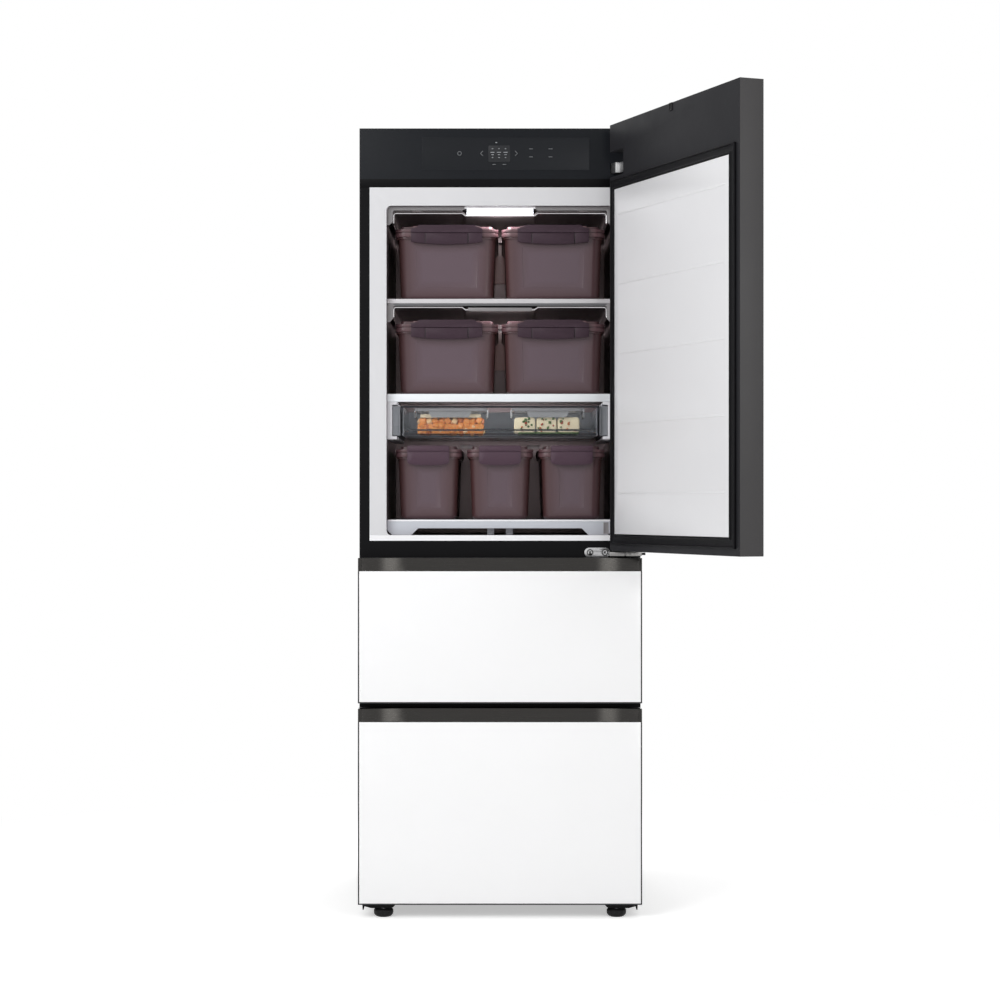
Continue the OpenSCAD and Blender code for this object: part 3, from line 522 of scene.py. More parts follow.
# Grained: colour, roughness, grain's scale, bump in millimetres, shade, and the rest
grainSet = {
    "casePaint": ((0.032, 0.033, 0.036), 0.42, 1400, 0.03, 0.03, {"dust": 0.05, "specular": 0.3}),
    "galvanised": ((0.42, 0.43, 0.44), 0.38, 160, 0.01, 0.03, {"Metallic": 0.9}),
    "foam": ((0.7, 0.6, 0.32), 0.9, 300, 0.3, 0.03, {}),
    "whiteLiner": ((0.672, 0.672, 0.69), 0.32, 700, 0.01, 0.012, {}),
    # A brighter copy of the liner's white for the sill, the deck's edge strip, the light bar's top
    # and the surround above it: painted light
    "paintedLitWhite": ((0.93, 0.93, 0.95), 0.3, 700, 0.01, 0.012, {}),
    "doorLiner": ((0.755, 0.755, 0.77), 0.36, 700, 0.012, 0.012, {}),
    "greyLiner": ((0.10, 0.102, 0.108), 0.42, 700, 0.015, 0.03, {}),
    # surroundGrey: its lighter edge colour is a painted highlight on the corners
    "surroundGrey": ((0.22, 0.21, 0.215), 0.34, 800, 0.01, 0.03,
        {"edge": (0.42, 0.4, 0.4), "wear": 0.3}),
    "frameBlack": ((0.0035, 0.0035, 0.0042), 0.38, 1400, 0.02, 0.03, {"specular": 0.09}),
    "panelGlass": ((0.0125, 0.0138, 0.0165), 0.3, 300, 0.0, 0.02,
        {"gloss": 0.03, "specular": 0.07}),
    "panelField": ((0.0145, 0.0158, 0.0185), 0.3, 300, 0.0, 0.01,
        {"gloss": 0.02, "specular": 0.1}),
    "screenField": ((0.03, 0.031, 0.034), 0.3, 300, 0.0, 0.02, {"gloss": 0.03, "specular": 0.1}),
    "signGlow": ((0.22, 0.23, 0.24), 0.4, 900, 0.02, 0.03, {}),
    "digitGlow": ((0.42, 0.44, 0.46), 0.4, 900, 0.02, 0.03, {}),
    "lightCover": ((0.9, 0.92, 0.95), 0.3, 300, 0.02, 0.03,
        {"Emission Color": (0.93, 0.95, 1, 1), "Emission Strength": 3.5}),
    "coilMetal": ((0.6, 0.62, 0.65), 0.35, 200, 0.02, 0.03, {"Metallic": 1.0}),
    "coilBlack": ((0.02, 0.02, 0.022), 0.5, 300, 0.02, 0.03, {}),
    "compressorBlack": ((0.012, 0.012, 0.013), 0.4, 500, 0.05, 0.03, {}),
    # shelfPaintedLit: a brighter copy of the shelf white for the lower shelf: painted light
    "shelfPaintedLit": ((0.84, 0.87, 0.9), 0.2, 600, 0.008, 0.01, {}),
    "shelfUpper": ((0.595, 0.58, 0.595), 0.22, 600, 0.008, 0.01, {}),
    "shelfWhite": ((0.53, 0.55, 0.6), 0.22, 600, 0.008, 0.015, {}),
    "channelWhite": ((0.7, 0.7, 0.73), 0.3, 700, 0.01, 0.015, {}),
    # ductPaintedGlow: a faint pink glow with no lamp behind it: painted light
    "ductPaintedGlow": ((0.5, 0.36, 0.37), 0.36, 700, 0.01, 0.015,
        {"Emission Color": (1, 0.62, 0.6, 1), "Emission Strength": 0.045}),
    "blackPlastic": ((0.006, 0.006, 0.0065), 0.5, 500, 0.06, 0.03,
        {"edge": (0.03, 0.03, 0.032), "specular": 0.18}),
    "whiteGlass": ((0.93, 0.93, 0.935), 0.09, 60, 0.0, 0.004, {"gloss": 0.02}),
    "doorShell": ((0.0175, 0.0175, 0.02), 0.5, 1200, 0.02, 0.03, {"specular": 0.1}),
    "doorEdge": ((0.056, 0.054, 0.055), 0.4, 1200, 0.02, 0.03, {"specular": 0.18}),
    "drawerShell": ((0.03, 0.03, 0.033), 0.4, 1200, 0.02, 0.03, {"specular": 0.3}),
    # gasketRubber: its lighter edge colour stands in for highlight lines, a painted highlight
    "gasketRubber": ((0.004, 0.004, 0.005), 0.45, 800, 0.04, 0.03,
        {"edge": (0.018, 0.018, 0.021), "wear": 0.5, "specular": 0.12}),
    "binPlastic": ((0.52, 0.53, 0.56), 0.25, 500, 0.02, 0.03, {}),
    "fanPlastic": ((0.75, 0.75, 0.7), 0.4, 500, 0.02, 0.03, {}),
    # containerBody: darker and redder towards the upright edges of the tubs, as painted shade
    "containerBody": ((0.105, 0.07, 0.087), 0.3, 500, 0.004, 0.006, {"gloss": 0.008,
        "paintedEdgeShade": (0.07, 0.03, 0.03), "Coat Weight": 0.05, "Coat Roughness": 0.2,
        "specular": 0.4}),
    # containerLid: the lighter pink colour on its rim beads and edges is a painted highlight
    "containerLid": ((0.078, 0.036, 0.042), 0.42, 500, 0.004, 0.006,
        {"gloss": 0.008, "edge": (0.22, 0.12, 0.13), "wear": 0.6}),
    "latchMauve": ((0.034, 0.017, 0.027), 0.5, 700, 0.02, 0.01,
        {"gloss": 0.01, "edge": (0.1, 0.065, 0.085), "specular": 0.22}),
    # latchGap: a darker copy of the latch colour for the faces in its notch: painted shade
    "latchGap": ((0.012, 0.006, 0.009), 0.6, 700, 0.01, 0.03, {}),
    "latchPurple": ((0.054, 0.025, 0.042), 0.48, 700, 0.02, 0.01,
        {"gloss": 0.01, "edge": (0.12, 0.075, 0.1), "specular": 0.35}),
    "traySmoky": ((0.58, 0.6, 0.64), 0.16, 300, 0.0, 0.01, {"Alpha": 0.94}),
    "trayClear": ((0.2, 0.21, 0.23), 0.06, 300, 0.0, 0.01, {"Alpha": 0.05}),
    "trayRim": ((0.022, 0.024, 0.028), 0.35, 300, 0.0, 0.03, {"Alpha": 0.92, "specular": 0.15}),
    "trayStep": ((0.04, 0.043, 0.05), 0.2, 300, 0.0, 0.03, {"Alpha": 0.7}),
    "runnerGrey": ((0.19, 0.2, 0.22), 0.3, 700, 0.01, 0.03,
        {"edge": (0.3, 0.31, 0.33), "wear": 0.4}),
    "foodClear": ((0.6, 0.58, 0.56), 0.08, 200, 0.0, 0.02, {"Alpha": 0.05}),
    "foodLid": ((0.42, 0.43, 0.45), 0.2, 300, 0.005, 0.03, {"Alpha": 0.6}),
    "foodFlap": ((0.33, 0.34, 0.35), 0.2, 300, 0.005, 0.03, {"Alpha": 0.8}),
    "stewOrange": ((0.86, 0.31, 0.06), 0.35, 260, 0.5, 0.2,
        {"Subsurface Weight": 0.2, "Subsurface Scale": 0.004}),
    "stewDeep": ((0.55, 0.15, 0.03), 0.35, 260, 0.5, 0.2, {}),
    "stewPale": ((0.92, 0.62, 0.33), 0.4, 260, 0.4, 0.15, {}),
    "stewCream": ((0.7, 0.6, 0.42), 0.45, 200, 0.4, 0.1, {}),
    "eggCream": ((0.9, 0.8, 0.56), 0.45, 200, 0.4, 0.12, {}),
    "bitGreen": ((0.07, 0.15, 0.03), 0.45, 400, 0.3, 0.25, {}),
    "bitRed": ((0.4, 0.06, 0.02), 0.4, 400, 0.3, 0.2, {}),
}
# Brushed: colour, roughness, stretch, bump in millimetres, shade, metallic, and the rest
brushSet = {
    "brightEdge": ((0.72, 0.71, 0.72), 0.16, (2, 30, 30), 0.004, 0.05, 1.0, {}),
    # innerSteel's pink cast is a painted reflection of the red containers; backSteelPaintedShade is
    # a darker, redder copy for the back wall: painted shade and reflection
    "innerSteel": ((0.46, 0.41, 0.42), 0.36, (1, 1, 40), 0.0005, 0.05, 0.9, {}),
    "backSteelPaintedShade": ((0.29, 0.23, 0.235), 0.36, (1, 1, 40), 0.0005, 0.05, 0.9, {}),
    "platedSteel": ((0.46, 0.46, 0.465), 0.3, (40, 1, 1), 0.01, 0.1, 1.0,
        {"edge": (0.66, 0.66, 0.66), "wear": 0.4}),
    "strapSteel": ((0.24, 0.235, 0.23), 0.4, (60, 1, 1), 0.02, 0.4, 1.0, {}),
    "gripMetal": ((0.039, 0.037, 0.035), 0.24, (1, 40, 40), 0.0015, 0.04, 0.85, {}),
}
finish = {}
for name, (color, roughness, scale, bump, shade, rest) in grainSet.items():
    skinSet = {"Grain Scale": scale, "Gloss": rest.pop("gloss", 0.04)}
    finish[name] = makeMaterial(name, "grain", skinSet, color, roughness, bump, shade, **rest)
for name, (color, roughness, stretch, bump, shade, metallic, rest) in brushSet.items():
    finish[name] = makeMaterial(name, "brushing", {"Stretch": stretch}, color, roughness, bump,
        shade, Metallic=metallic, **rest)

# A painted highlight: a brighter band near each end of the grips, where the lamps would show in the
# metal
gripHighlightSet = {"place": 255, "reach": 36, "color": (0.108, 0.103, 0.096)}
tree = finish["gripMetal"].node_tree
baseColor = tree.nodes["Principled BSDF"].inputs["Base Color"]
across = addNode(tree, "SeparateXYZ", {0: objectPoint(tree)}).outputs["X"]
away = mathNode(tree, "SUBTRACT", mathNode(tree, "ABSOLUTE", across), gripHighlightSet["place"] * mm)
band = rangeOf(tree, mathNode(tree, "ABSOLUTE", away), gripHighlightSet["reach"] * mm, 0.0,
    kind="SMOOTHERSTEP")
feed(tree, mixed(tree, band, baseColor.links[0].from_socket, (*gripHighlightSet["color"], 1)), baseColor)
print("materials made:", len(finish))

# Finish of every CAD node that stays, or until a piece stands for it
nodeFinish = {
    "casePaint": "outer_case", "galvanised": "back_cover", "foam": "insulation_foam",
    "frameBlack": "base_pan front_frame", "whiteLiner": "upper_liner door_liner",
    "greyLiner": "drawer_liners utility_tray", "panelGlass": "control_panel",
    "lightCover": "ceiling_light", "backSteelPaintedShade": "duct_panel", "innerSteel": "air_guides",
    "coilMetal": "evaporator", "fanPlastic": "evaporator_fan", "compressorBlack": "compressor",
    "shelfWhite": "shelves bottom_shelf tray_guides", "coilBlack": "condenser",
    "platedSteel": "door_hinges hinge_screws outer_rails middle_slides lower_slides",
    "blackPlastic": "power_inlet left_foot right_foot rear_rollers", "doorShell": "door_body",
    "whiteGlass": "door_glass middle_glass lower_glass", "drawerShell": "middle_core lower_core",
    "gasketRubber": "door_gasket middle_gasket lower_gasket",
    "gripMetal": "middle_grip lower_grip", "binPlastic": "middle_bin lower_bin",
}
kindOf = {node: kind for kind, nodes in nodeFinish.items() for node in nodes.split()}
containerKinds = {"box": "containerBody", "lid": "containerLid", "latch": "latchMauve"}
for node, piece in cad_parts.items():
    kind = kindOf.get(node) or containerKinds.get(node.split("_")[0], "containerLid")
    piece.data.materials.clear()
    piece.data.materials.append(finish[kind])

# Cabinet parts that keep the CAD's shape: node, finish, slot, edge width and segments
cabinetSet = {
    "caseShell": ("outer_case", "casePaint", "case_paint", (0.5, 2)),
    "bottomShelf": ("bottom_shelf", "shelfWhite", "shelf_white", (1.4, 3)),
    "trayChannels": ("tray_guides", "channelWhite", "shelf_white", (1.2, 2)),
}
for name, (node, kind, slotName, edge) in cabinetSet.items():
    roundNode(name, node, edge, "cabinet", kind, slotName)

# The same with two finishes; the last entry says where the second one goes. On the shelves the
# second is a brighter copy of the same white for the lower shelf: painted light
twoToneAndLitSet = {
    "doorHinges": ("door_hinges", ("platedSteel", "strapSteel"), "plated_steel", (0.5, 2),
        lambda p, n: p.z < 870 and p.x > 262 and n.y < -0.5),
    "shelfPlates": ("shelves", ("shelfUpper", "shelfPaintedLit"), "shelf_white", (1.6, 3),
        lambda p, n: p.z < 1300),
    "controlPanel": ("control_panel", ("panelGlass", "frameBlack"), "panel_glass", (0.9, 2),
        lambda p, n: p.z < 1740.2),
}
for name, (node, kinds, slotName, edge, second) in twoToneAndLitSet.items():
    paintFaces(roundNode(name, node, edge, "cabinet", None, slotName), kinds, second)
print("cabinet parts rounded:", len(cabinetSet) + len(twoToneAndLitSet))

# A white strip along the bottom shelf's front edge as a painted highlight, and a darker grey slot,
# with Y from the shelf's front
deckSet = {"edge": ((-266, -0.8, 928.8), (266, 3, 932.6)),
    "slot": ((246, -0.6, 899), (258, 2, 926.5)), "slotRecess": (1.4, 0.5)}
deckFront = Vector((0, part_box("bottom_shelf")[0][1] / mm, 0))
deckHighlightStrip = addBlock("deckHighlightStrip", *(deckFront + Vector(corner) for corner in deckSet["edge"]))
fitted(deckHighlightStrip, (1.1, 3), "cabinet", "paintedLitWhite", "shelf_white")
deckSlot = addBlock("deckSlot", *(deckFront + Vector(corner) for corner in deckSet["slot"]))
recessed(deckSlot, *deckSet["slotRecess"])
fitted(deckSlot, (0.5, 2), "cabinet", "surroundGrey", "shelf_white")

# Lower hinge: screws that are bright in the middle, a ring round each, a stop beside the pin
hingeSet = {"screws": (213, 248.5), "z": 855.25, "bright": 5.4, "head": -309.6,
    "ring": (6.5, 1.2), "ringFront": -309.8, "stop": ((322, -362, 850.2), (341, -350, 855.8)),
    "stopRecess": (1.5, 0.6)}


def screwRim(p, n):
    away = min(math.hypot(p.x - x, p.z - hingeSet["z"]) for x in hingeSet["screws"])
    return not (n.y < -0.8 and away < hingeSet["bright"] and p.y < hingeSet["head"])


screws = roundNode("hingeScrews", "hinge_screws", (0.5, 2), "cabinet", None, "plated_steel")
paintFaces(screws, ("platedSteel", "blackPlastic"), screwRim)
for x in hingeSet["screws"]:
    deselectAll()
    bpy.ops.mesh.primitive_torus_add(major_radius=hingeSet["ring"][0] * mm,
        minor_radius=hingeSet["ring"][1] * mm, major_segments=40, minor_segments=10,
        location=Vector((x, hingeSet["ringFront"], hingeSet["z"])) * mm,
        rotation=(math.radians(90), 0, 0))
    place(smoothed(settle(named("screwRing"))), "cabinet", "blackPlastic", "black_plastic")
stop = recessed(addBlock("hingeStop", *hingeSet["stop"]), *hingeSet["stopRecess"])
fitted(stop, (0.8, 2), "cabinet", "blackPlastic", "black_plastic")

# Liner: white flange with a rolled rim, and dark steel walls behind it
linerSet = {"half": 269, "low": 896, "high": 1677, "front": -304.5, "split": -297, "rim": (6, 4)}


def inOpening(point, slack=0.6):
    return abs(point.x) < linerSet["half"] + slack \
        and linerSet["low"] - slack < point.z < linerSet["high"] + slack


# The sill below the opening takes the lit white, brighter than the flange: painted light
def linerPaint(p, n):
    return 1 if inOpening(p) and p.y > linerSet["split"] else 2 if p.z < linerSet["low"] else 0


liner = copyOfNode("upper_liner", "upperLiner")
cutThrough(liner, (0, linerSet["split"], 0), (0, 1, 0))
cutThrough(liner, (0, 0, linerSet["low"]), (0, 0, 1))
roundEdges(liner, edgeAt(lambda p: abs(p.y - linerSet["front"]) < 0.2 and inOpening(p, 0.3)),
    *linerSet["rim"])
paintFaces(liner, ("whiteLiner", "innerSteel", "paintedLitWhite"), linerPaint)
place(smoothed(liner), "cabinet", None, "white_liner", "upper_liner")

# Grey surround inside the opening, with an arm down each side and room for the light
surroundSet = {"half": 268.6, "arm": 14, "corner": (11, 6), "inner": (5, 4), "armDown": 36,
    "foot": 8, "footSize": 0.45, "riseOut": 90, "riseIn": 84}
# Bright edge of the air guide below each surround
hemSet = {"front": -274.5, "radius": 1.7, "half": 253.5, "corner": 6, "centre": 82, "slope": 8,
    "drop": 6, "down": 24, "steps": 6}


def makeSurround(name, front, back, top, depth, middleRise, bandFinish):
    s = surroundSet
    inner = s["half"] - s["arm"]
    low = top - depth
    band = addBlock(name, (-s["half"], front, low), (s["half"], back, top))
    for x in (-inner, inner, -s["riseOut"], s["riseOut"], -s["riseIn"], s["riseIn"]):
        cutThrough(band, (x, 0, 0), (1, 0, 0))
    workFaces(band, lambda f: f.normal.z < -0.9 and abs(middleOf(f).x) > inner,
        [("raise", (0, 0, depth - s["armDown"]))])
    for side in (-1, 1):
        workFaces(band, lambda f: f.normal.z < -0.9 and middleOf(f).x * side > inner,
            [("raise", (0, 0, -s["foot"])), ("size", (s["footSize"], 1, 1))],
            (side * s["half"], 0, 0))
    if middleRise:
        moved(band, lambda p: abs(p.x) < s["riseIn"] + 1 and p.z < low + 1, (0, 0, middleRise))
    roundEdges(band, edgeRuns(1, lambda p: abs(p.x) > s["half"] - 1 and p.z > top - 1),
        *s["corner"])
    roundEdges(band, edgeRuns(1, lambda p: abs(abs(p.x) - inner) < 1 and abs(p.z - low) < 1),
        *s["inner"])
    fitted(band, (1.2, 2), "cabinet", None, "grey_liner")
    # Above the light bar the middle takes the lit white: painted light from the bar
    return paintFaces(band, ("surroundGrey", bandFinish, "paintedLitWhite"), lambda p, n: 2
        if middleRise and abs(p.x) < s["riseIn"] + 2 else 1 if abs(p.x) < inner - 4 else 0)


def makeHem(name, z):
    s = hemSet
    right = [(s["centre"], z - s["drop"]), (s["centre"] + s["slope"], z)]
    for step in range(s["steps"]):
        turn = math.radians(90 - 18 * step)
        right.append((s["half"] - s["corner"] + s["corner"] * math.cos(turn),
            z - s["corner"] + s["corner"] * math.sin(turn)))
    right.append((s["half"], z - s["down"]))
    line = [(-x, s["front"], height) for x, height in reversed(right)]
    line += [(x, s["front"], height) for x, height in right]
    place(addTube(name, line, s["radius"]), "cabinet", "brightEdge", "steel_panel")


makeSurround("ceilingSurround", -292, -286, 1676.5, 9.5, 4.5, "surroundGrey")
# The shelf surround's middle takes the darker greyLiner: painted shade under the shelf
makeSurround("shelfSurround", -283.5, -275.5, 1446.8, 5.6, 0, "greyLiner")
makeHem("ceilingHem", 1662.4)
makeHem("shelfHem", 1438.6)

# Light bar under the ceiling, and the same bar, unlit, below the upper shelf
lightSet = {"half": 79, "low": 1655, "glow": 1669, "corner": (9, 3), "split": -245,
    "lift": 6, "backLift": 12}
lamp = copyOfNode("ceiling_light", "ceilingLight")
roundEdges(lamp, edgeRuns(1, lambda p: abs(p.x) > lightSet["half"] - 0.5
    and p.z < lightSet["low"] + 1), *lightSet["corner"])
softened(lamp, 1, 2)
moved(lamp, lambda p: p.y <= lightSet["split"] and p.z < lightSet["low"] + 6,
    (0, 0, lightSet["lift"]))
moved(lamp, lambda p: p.y > lightSet["split"] and p.z < lightSet["low"] + 3,
    (0, 0, lightSet["backLift"]))
# Above the glowing strip the bar takes the lit white: painted light of the lamp on the ceiling
paintFaces(lamp, ("lightCover", "paintedLitWhite"), lambda p, n: p.z >= lightSet["glow"])
place(smoothed(lamp), "cabinet", None, "light_cover", "ceiling_light")

shelfBarSet = {"corners": ((-76, -281, 1428.8), (76, -262, 1437.4)), "round": (5, 4)}
bar = addBlock("shelfBar", *shelfBarSet["corners"])
roundEdges(bar, edgeRuns(1, lambda p: p.z < shelfBarSet["corners"][0][2] + 0.2),
    *shelfBarSet["round"])
fitted(bar, (1, 2), "cabinet", "surroundGrey", "light_cover")

# Upright channels on the duct panel, seen between the containers: low and high end
ductSet = {"half": 17, "front": 195, "back": 207, "side": (7, 4), "top": (5, 3), "recess": (3, 1.2),
    "heights": {"ductChannelTop": (1540, 1640), "ductChannelMiddle": (1316, 1412)}}
for name, (low, high) in ductSet["heights"].items():
    channel = addBlock(name, (-ductSet["half"], ductSet["front"], low),
        (ductSet["half"], ductSet["back"], high))
    roundEdges(channel, edgeRuns(2, lambda p: p.y < ductSet["front"] + 1), *ductSet["side"])
    roundEdges(channel, edgeAt(lambda p: p.y < ductSet["front"] + 1 and p.z > high - 1),
        *ductSet["top"])
    recessed(channel, *ductSet["recess"], limit=0.99)
    # The channels glow faintly without a lamp: painted light
    place(smoothed(channel), "cabinet", "ductPaintedGlow", "grey_liner")
print("compartment fitted out")

# Containers: two wide pairs and three narrow ones, each kind modelled once
tubSet = {"front": -267.5, "back": 174.5, "corner": (24, 6), "seam": 149, "rim": 4, "lip": 3,
    "topIn": 7, "footIn": 12, "footRound": (10, 4), "wall": 8.5, "floor": 6,
    "rings": (7, 12, 16), "paintedShadeReach": 58}
lidSet = {"gap": 0.4, "bead": 9, "groove": 2.4, "grooveIn": 1.8, "upper": 6.6, "crownIn": 13,
    "crown": 7.4, "dish": (16, 1.5)}
wideTub = {"w": 246, "home": (-127, 1458), "places": {"top_left": (-127, 1458),
    "top_right": (127, 1458), "mid_left": (-127, 1232), "mid_right": (127, 1232)}}
smallTub = {"w": 158, "home": (0, 933), "places": {"low_left": (-171, 933),
    "low_centre": (0, 933), "low_right": (171, 933)}}


def makeTub(name, x, z, w):
    s = tubSet
    depth = s["back"] - s["front"]
    about = (x, (s["front"] + s["back"]) / 2, z)
    rimLow = z + s["seam"] - s["rim"]

    def size(cut):  # factors that take the full rim to a smaller outline
        return ((w - 2 * cut) / w, (depth - 2 * cut) / depth)

    tub = addBlock(name, (x - w / 2, s["front"], z), (x + w / 2, s["back"], rimLow))
    roundEdges(tub, edgeRuns(2), *s["corner"])
    top, foot = size(s["topIn"]), size(s["footIn"])
    pinched(tub, facing(0, 0, -1), *foot, about)
    pinched(tub, facing(0, 0, 1), *top, about)
    roundEdges(tub, edgeAt(lambda p: p.z < z + 0.1), *s["footRound"])
    inner, lip, low = size(s["wall"]), size(s["lip"]), size(s["footIn"] + s["floor"])
    workFaces(tub, facing(0, 0, 1), [
        ("raise", (0, 0, 0)), ("size", (lip[0] / top[0], lip[1] / top[1], 1)),
        ("raise", (0, 0, s["rim"])),
        ("raise", (0, 0, 0)), ("size", (inner[0] / lip[0], inner[1] / lip[1], 1)),
        ("raise", (0, 0, s["floor"] - s["seam"])),
        ("size", (low[0] / inner[0], low[1] / inner[1], 1))], about)
    workFaces(tub, lambda f: f.normal.y < -0.997 and middleOf(f).y < s["front"] + 20
        and middleOf(f).z < rimLow - 8,
        [("inset", s["rings"][0]), ("inset", s["rings"][1]), ("raise", (0, 0.8, 0)),
        ("size", (0.995, 1, 0.99)), ("inset", s["rings"][2])], (x, s["front"], z + 70))
    softened(tub, 0.8, 2, 50)
    # Painted shade: how close each point is to the upright edges, which the material darkens and
    # reddens
    paintedShadeLayer = tub.data.attributes.new("paintedEdgeShade", "FLOAT", "POINT")
    for point, value in zip(tub.data.vertices, paintedShadeLayer.data):
        near = w / 2 - s["footIn"] + (s["footIn"] - s["topIn"]) * (point.co.z / mm - z) \
            / s["seam"] - abs(point.co.x / mm - x)
        value.value = max(0.0, 1.0 - max(near, 0.0) / s["paintedShadeReach"])
    return smoothed(tub, 40)


def makeLid(name, x, z, w):
    s = lidSet
    front, back = tubSet["front"], tubSet["back"]
    base = z + tubSet["seam"] + s["gap"]
    cut = 2 * s["grooveIn"]
    grow = ((w - cut) / w, (back - front - cut) / (back - front))
    lid = addBlock(name, (x - w / 2, front, base), (x + w / 2, back, base + s["bead"]))
    roundEdges(lid, edgeRuns(2), *tubSet["corner"])
    workFaces(lid, facing(0, 0, 1), [
        ("raise", (0, 0, 0)), ("size", (grow[0], grow[1], 1)), ("raise", (0, 0, s["groove"])),
        ("raise", (0, 0, 0)), ("size", (1 / grow[0], 1 / grow[1], 1)),
        ("raise", (0, 0, s["upper"])), ("inset", s["crownIn"]), ("raise", (0, 0, s["crown"] - 1)),
        ("inset", 2), ("shift", (0, 0, 1)), ("inset", s["dish"][0]),
        ("raise", (0, 0, -s["dish"][1]))], (x, (front + back) / 2, z))
    return smoothed(softened(lid, 1.1, 2, 38), 40)


# Latch of a wide container: a cover strip above a pad, with a thin gap between
latchSet = {"seam": 158.4, "top": 164, "end": 80, "endRise": 4, "shoulder": (60, 70),
    "shoulderMove": (6, 7.5), "gap": 0.5, "notch": (49.2, 52.8)}
latchX, latchZ = wideTub["home"]


def makeWideLatch():
    s = latchSet
    seam = latchZ + s["seam"]
    cover = copyOfNode("latch_top_left", "latchPattern")
    for side in (-1, 1):
        moved(cover, lambda p: (p.x - latchX) * side > s["end"]
            and abs(p.z - latchZ - s["top"]) < 1, (0, 0, s["endRise"]))
        moved(cover, lambda p: s["shoulder"][0] < (p.x - latchX) * side < s["shoulder"][1]
            and abs(p.z - latchZ - s["top"]) < 1,
            (side * s["shoulderMove"][0], 0, s["shoulderMove"][1]))
    pad = cloned(cover, "latchPatternPad")
    cutThrough(cover, (0, 0, seam + s["gap"]), (0, 0, 1), "above", True)
    cutThrough(pad, (0, 0, seam - s["gap"]), (0, 0, 1), "below", True)
    for part in (cover, pad):
        softened(part, 0.7, 2, 30)
    plate = smoothed(joined("latchPattern", [cover, pad]), 40)
    # The faces in the notch take the darker colour: painted shade in the groove
    return paintFaces(plate, ("latchMauve", "latchGap"), lambda p, n: p.z < seam
        and s["notch"][0] < abs(p.x - latchX) < s["notch"][1])


# The narrow ones are smooth, with a seam under the cover and a pad that bellies down
smallLatchSet = {"half": 50, "front": (8, 1), "cover": (162.4, 176.5), "pad": (133, 161.8),
    "belly": ((32, 2.5), (12, 1.2)), "cuts": (-32, -12, 12, 32), "padRound": (7, 4),
    "coverRound": (4, 3), "field": (2.5, -0.6)}


def makeSmallLatch(z):
    s = smallLatchSet
    front, back = (tubSet["front"] - out for out in s["front"])
    parts = []
    for label in ("Cover", "Pad"):
        low, high = (z + height for height in s[label.lower()])
        part = addBlock("latchPatternSmall" + label, (-s["half"], front, low),
            (s["half"], back, high))
        if label == "Pad":
            for x in s["cuts"]:
                cutThrough(part, (x, 0, 0), (1, 0, 0))
            for reach, drop in s["belly"]:
                moved(part, lambda p: p.z < low + 1 and abs(p.x) < reach + 1, (0, 0, -drop))
            roundEdges(part, edgeRuns(1, lambda p: abs(p.x) > s["half"] - 1 and p.z < low + 1),
                *s["padRound"])
        else:
            roundEdges(part, edgeRuns(1, lambda p: abs(p.x) > s["half"] - 1
                and p.z > high - 0.5), *s["coverRound"])
        recessed(part, *s["field"])
        parts.append(softened(part, 0.7, 2, 30))
    return smoothed(joined("latchPatternSmall", parts), 40)


wideLatch = makeWideLatch()
smallLatch = makeSmallLatch(smallTub["home"][1])

# Two ears on a wide lid, and the pin between them that its latch turns about
earSet = {"x": 74, "half": 6, "front": -7.5, "back": 16, "low": 166, "high": 174.6,
    "pinHalf": 72, "pinFront": -4.75, "pinHigh": 171, "pinRadius": 1.9}
earPattern = []
for side in (-1, 1):
    middle = latchX + side * earSet["x"]
    ear = addBlock("ear",
        (middle - earSet["half"], tubSet["front"] + earSet["front"], latchZ + earSet["low"]),
        (middle + earSet["half"], tubSet["front"] + earSet["back"], latchZ + earSet["high"]))
    earPattern.append(softened(ear, 1.8, 3))
pinEnds = [(latchX + side * earSet["pinHalf"], tubSet["front"] + earSet["pinFront"],
    latchZ + earSet["pinHigh"]) for side in (-1, 1)]
earPattern.append(addRod("latchPin", *pinEnds, earSet["pinRadius"], 20))

for group, latch in ((wideTub, wideLatch), (smallTub, smallLatch)):
    x0, z0 = group["home"]
    tub = makeTub("tubPattern", x0, z0, group["w"])
    lid = makeLid("lidPattern", x0, z0, group["w"])
    if group is wideTub:
        lid = smoothed(joined("lidPattern", [lid, *earPattern]), 40)
    for key, (x, z) in group["places"].items():
        shift = (x - x0, 0, z - z0)
        label = "".join(word.capitalize() for word in key.split("_"))
        place(cloned(tub, "tub" + label, shift), "container_" + key, "containerBody",
            "container_body", "box_" + key)
        place(cloned(lid, "lid" + label, shift), "lid_" + key, "containerLid",
            "container_lid", "lid_" + key)
        plate = cloned(latch, "latch" + label, shift)
        if group is wideTub:
            place(plate, "latch_" + key, None, "container_lid", "latch_" + key)
        else:
            place(plate, "lid_" + key, "latchPurple", "container_lid")
    for pattern in (tub, lid, latch):
        bpy.data.objects.remove(pattern, do_unlink=True)
print("containers made:", len(wideTub["places"]) + len(smallTub["places"]))

# Utility tray: a smoky shell with a clear front
traySet = {"half": 236, "front": -282.5, "back": 132.5, "low": 1130, "high": 1204, "wall": 3,
    "corner": (12, 5), "foot": (7, 4), "draft": (0.985, 0.99), "lipDown": 4, "clearDeep": 8,
    "clearIn": 6}


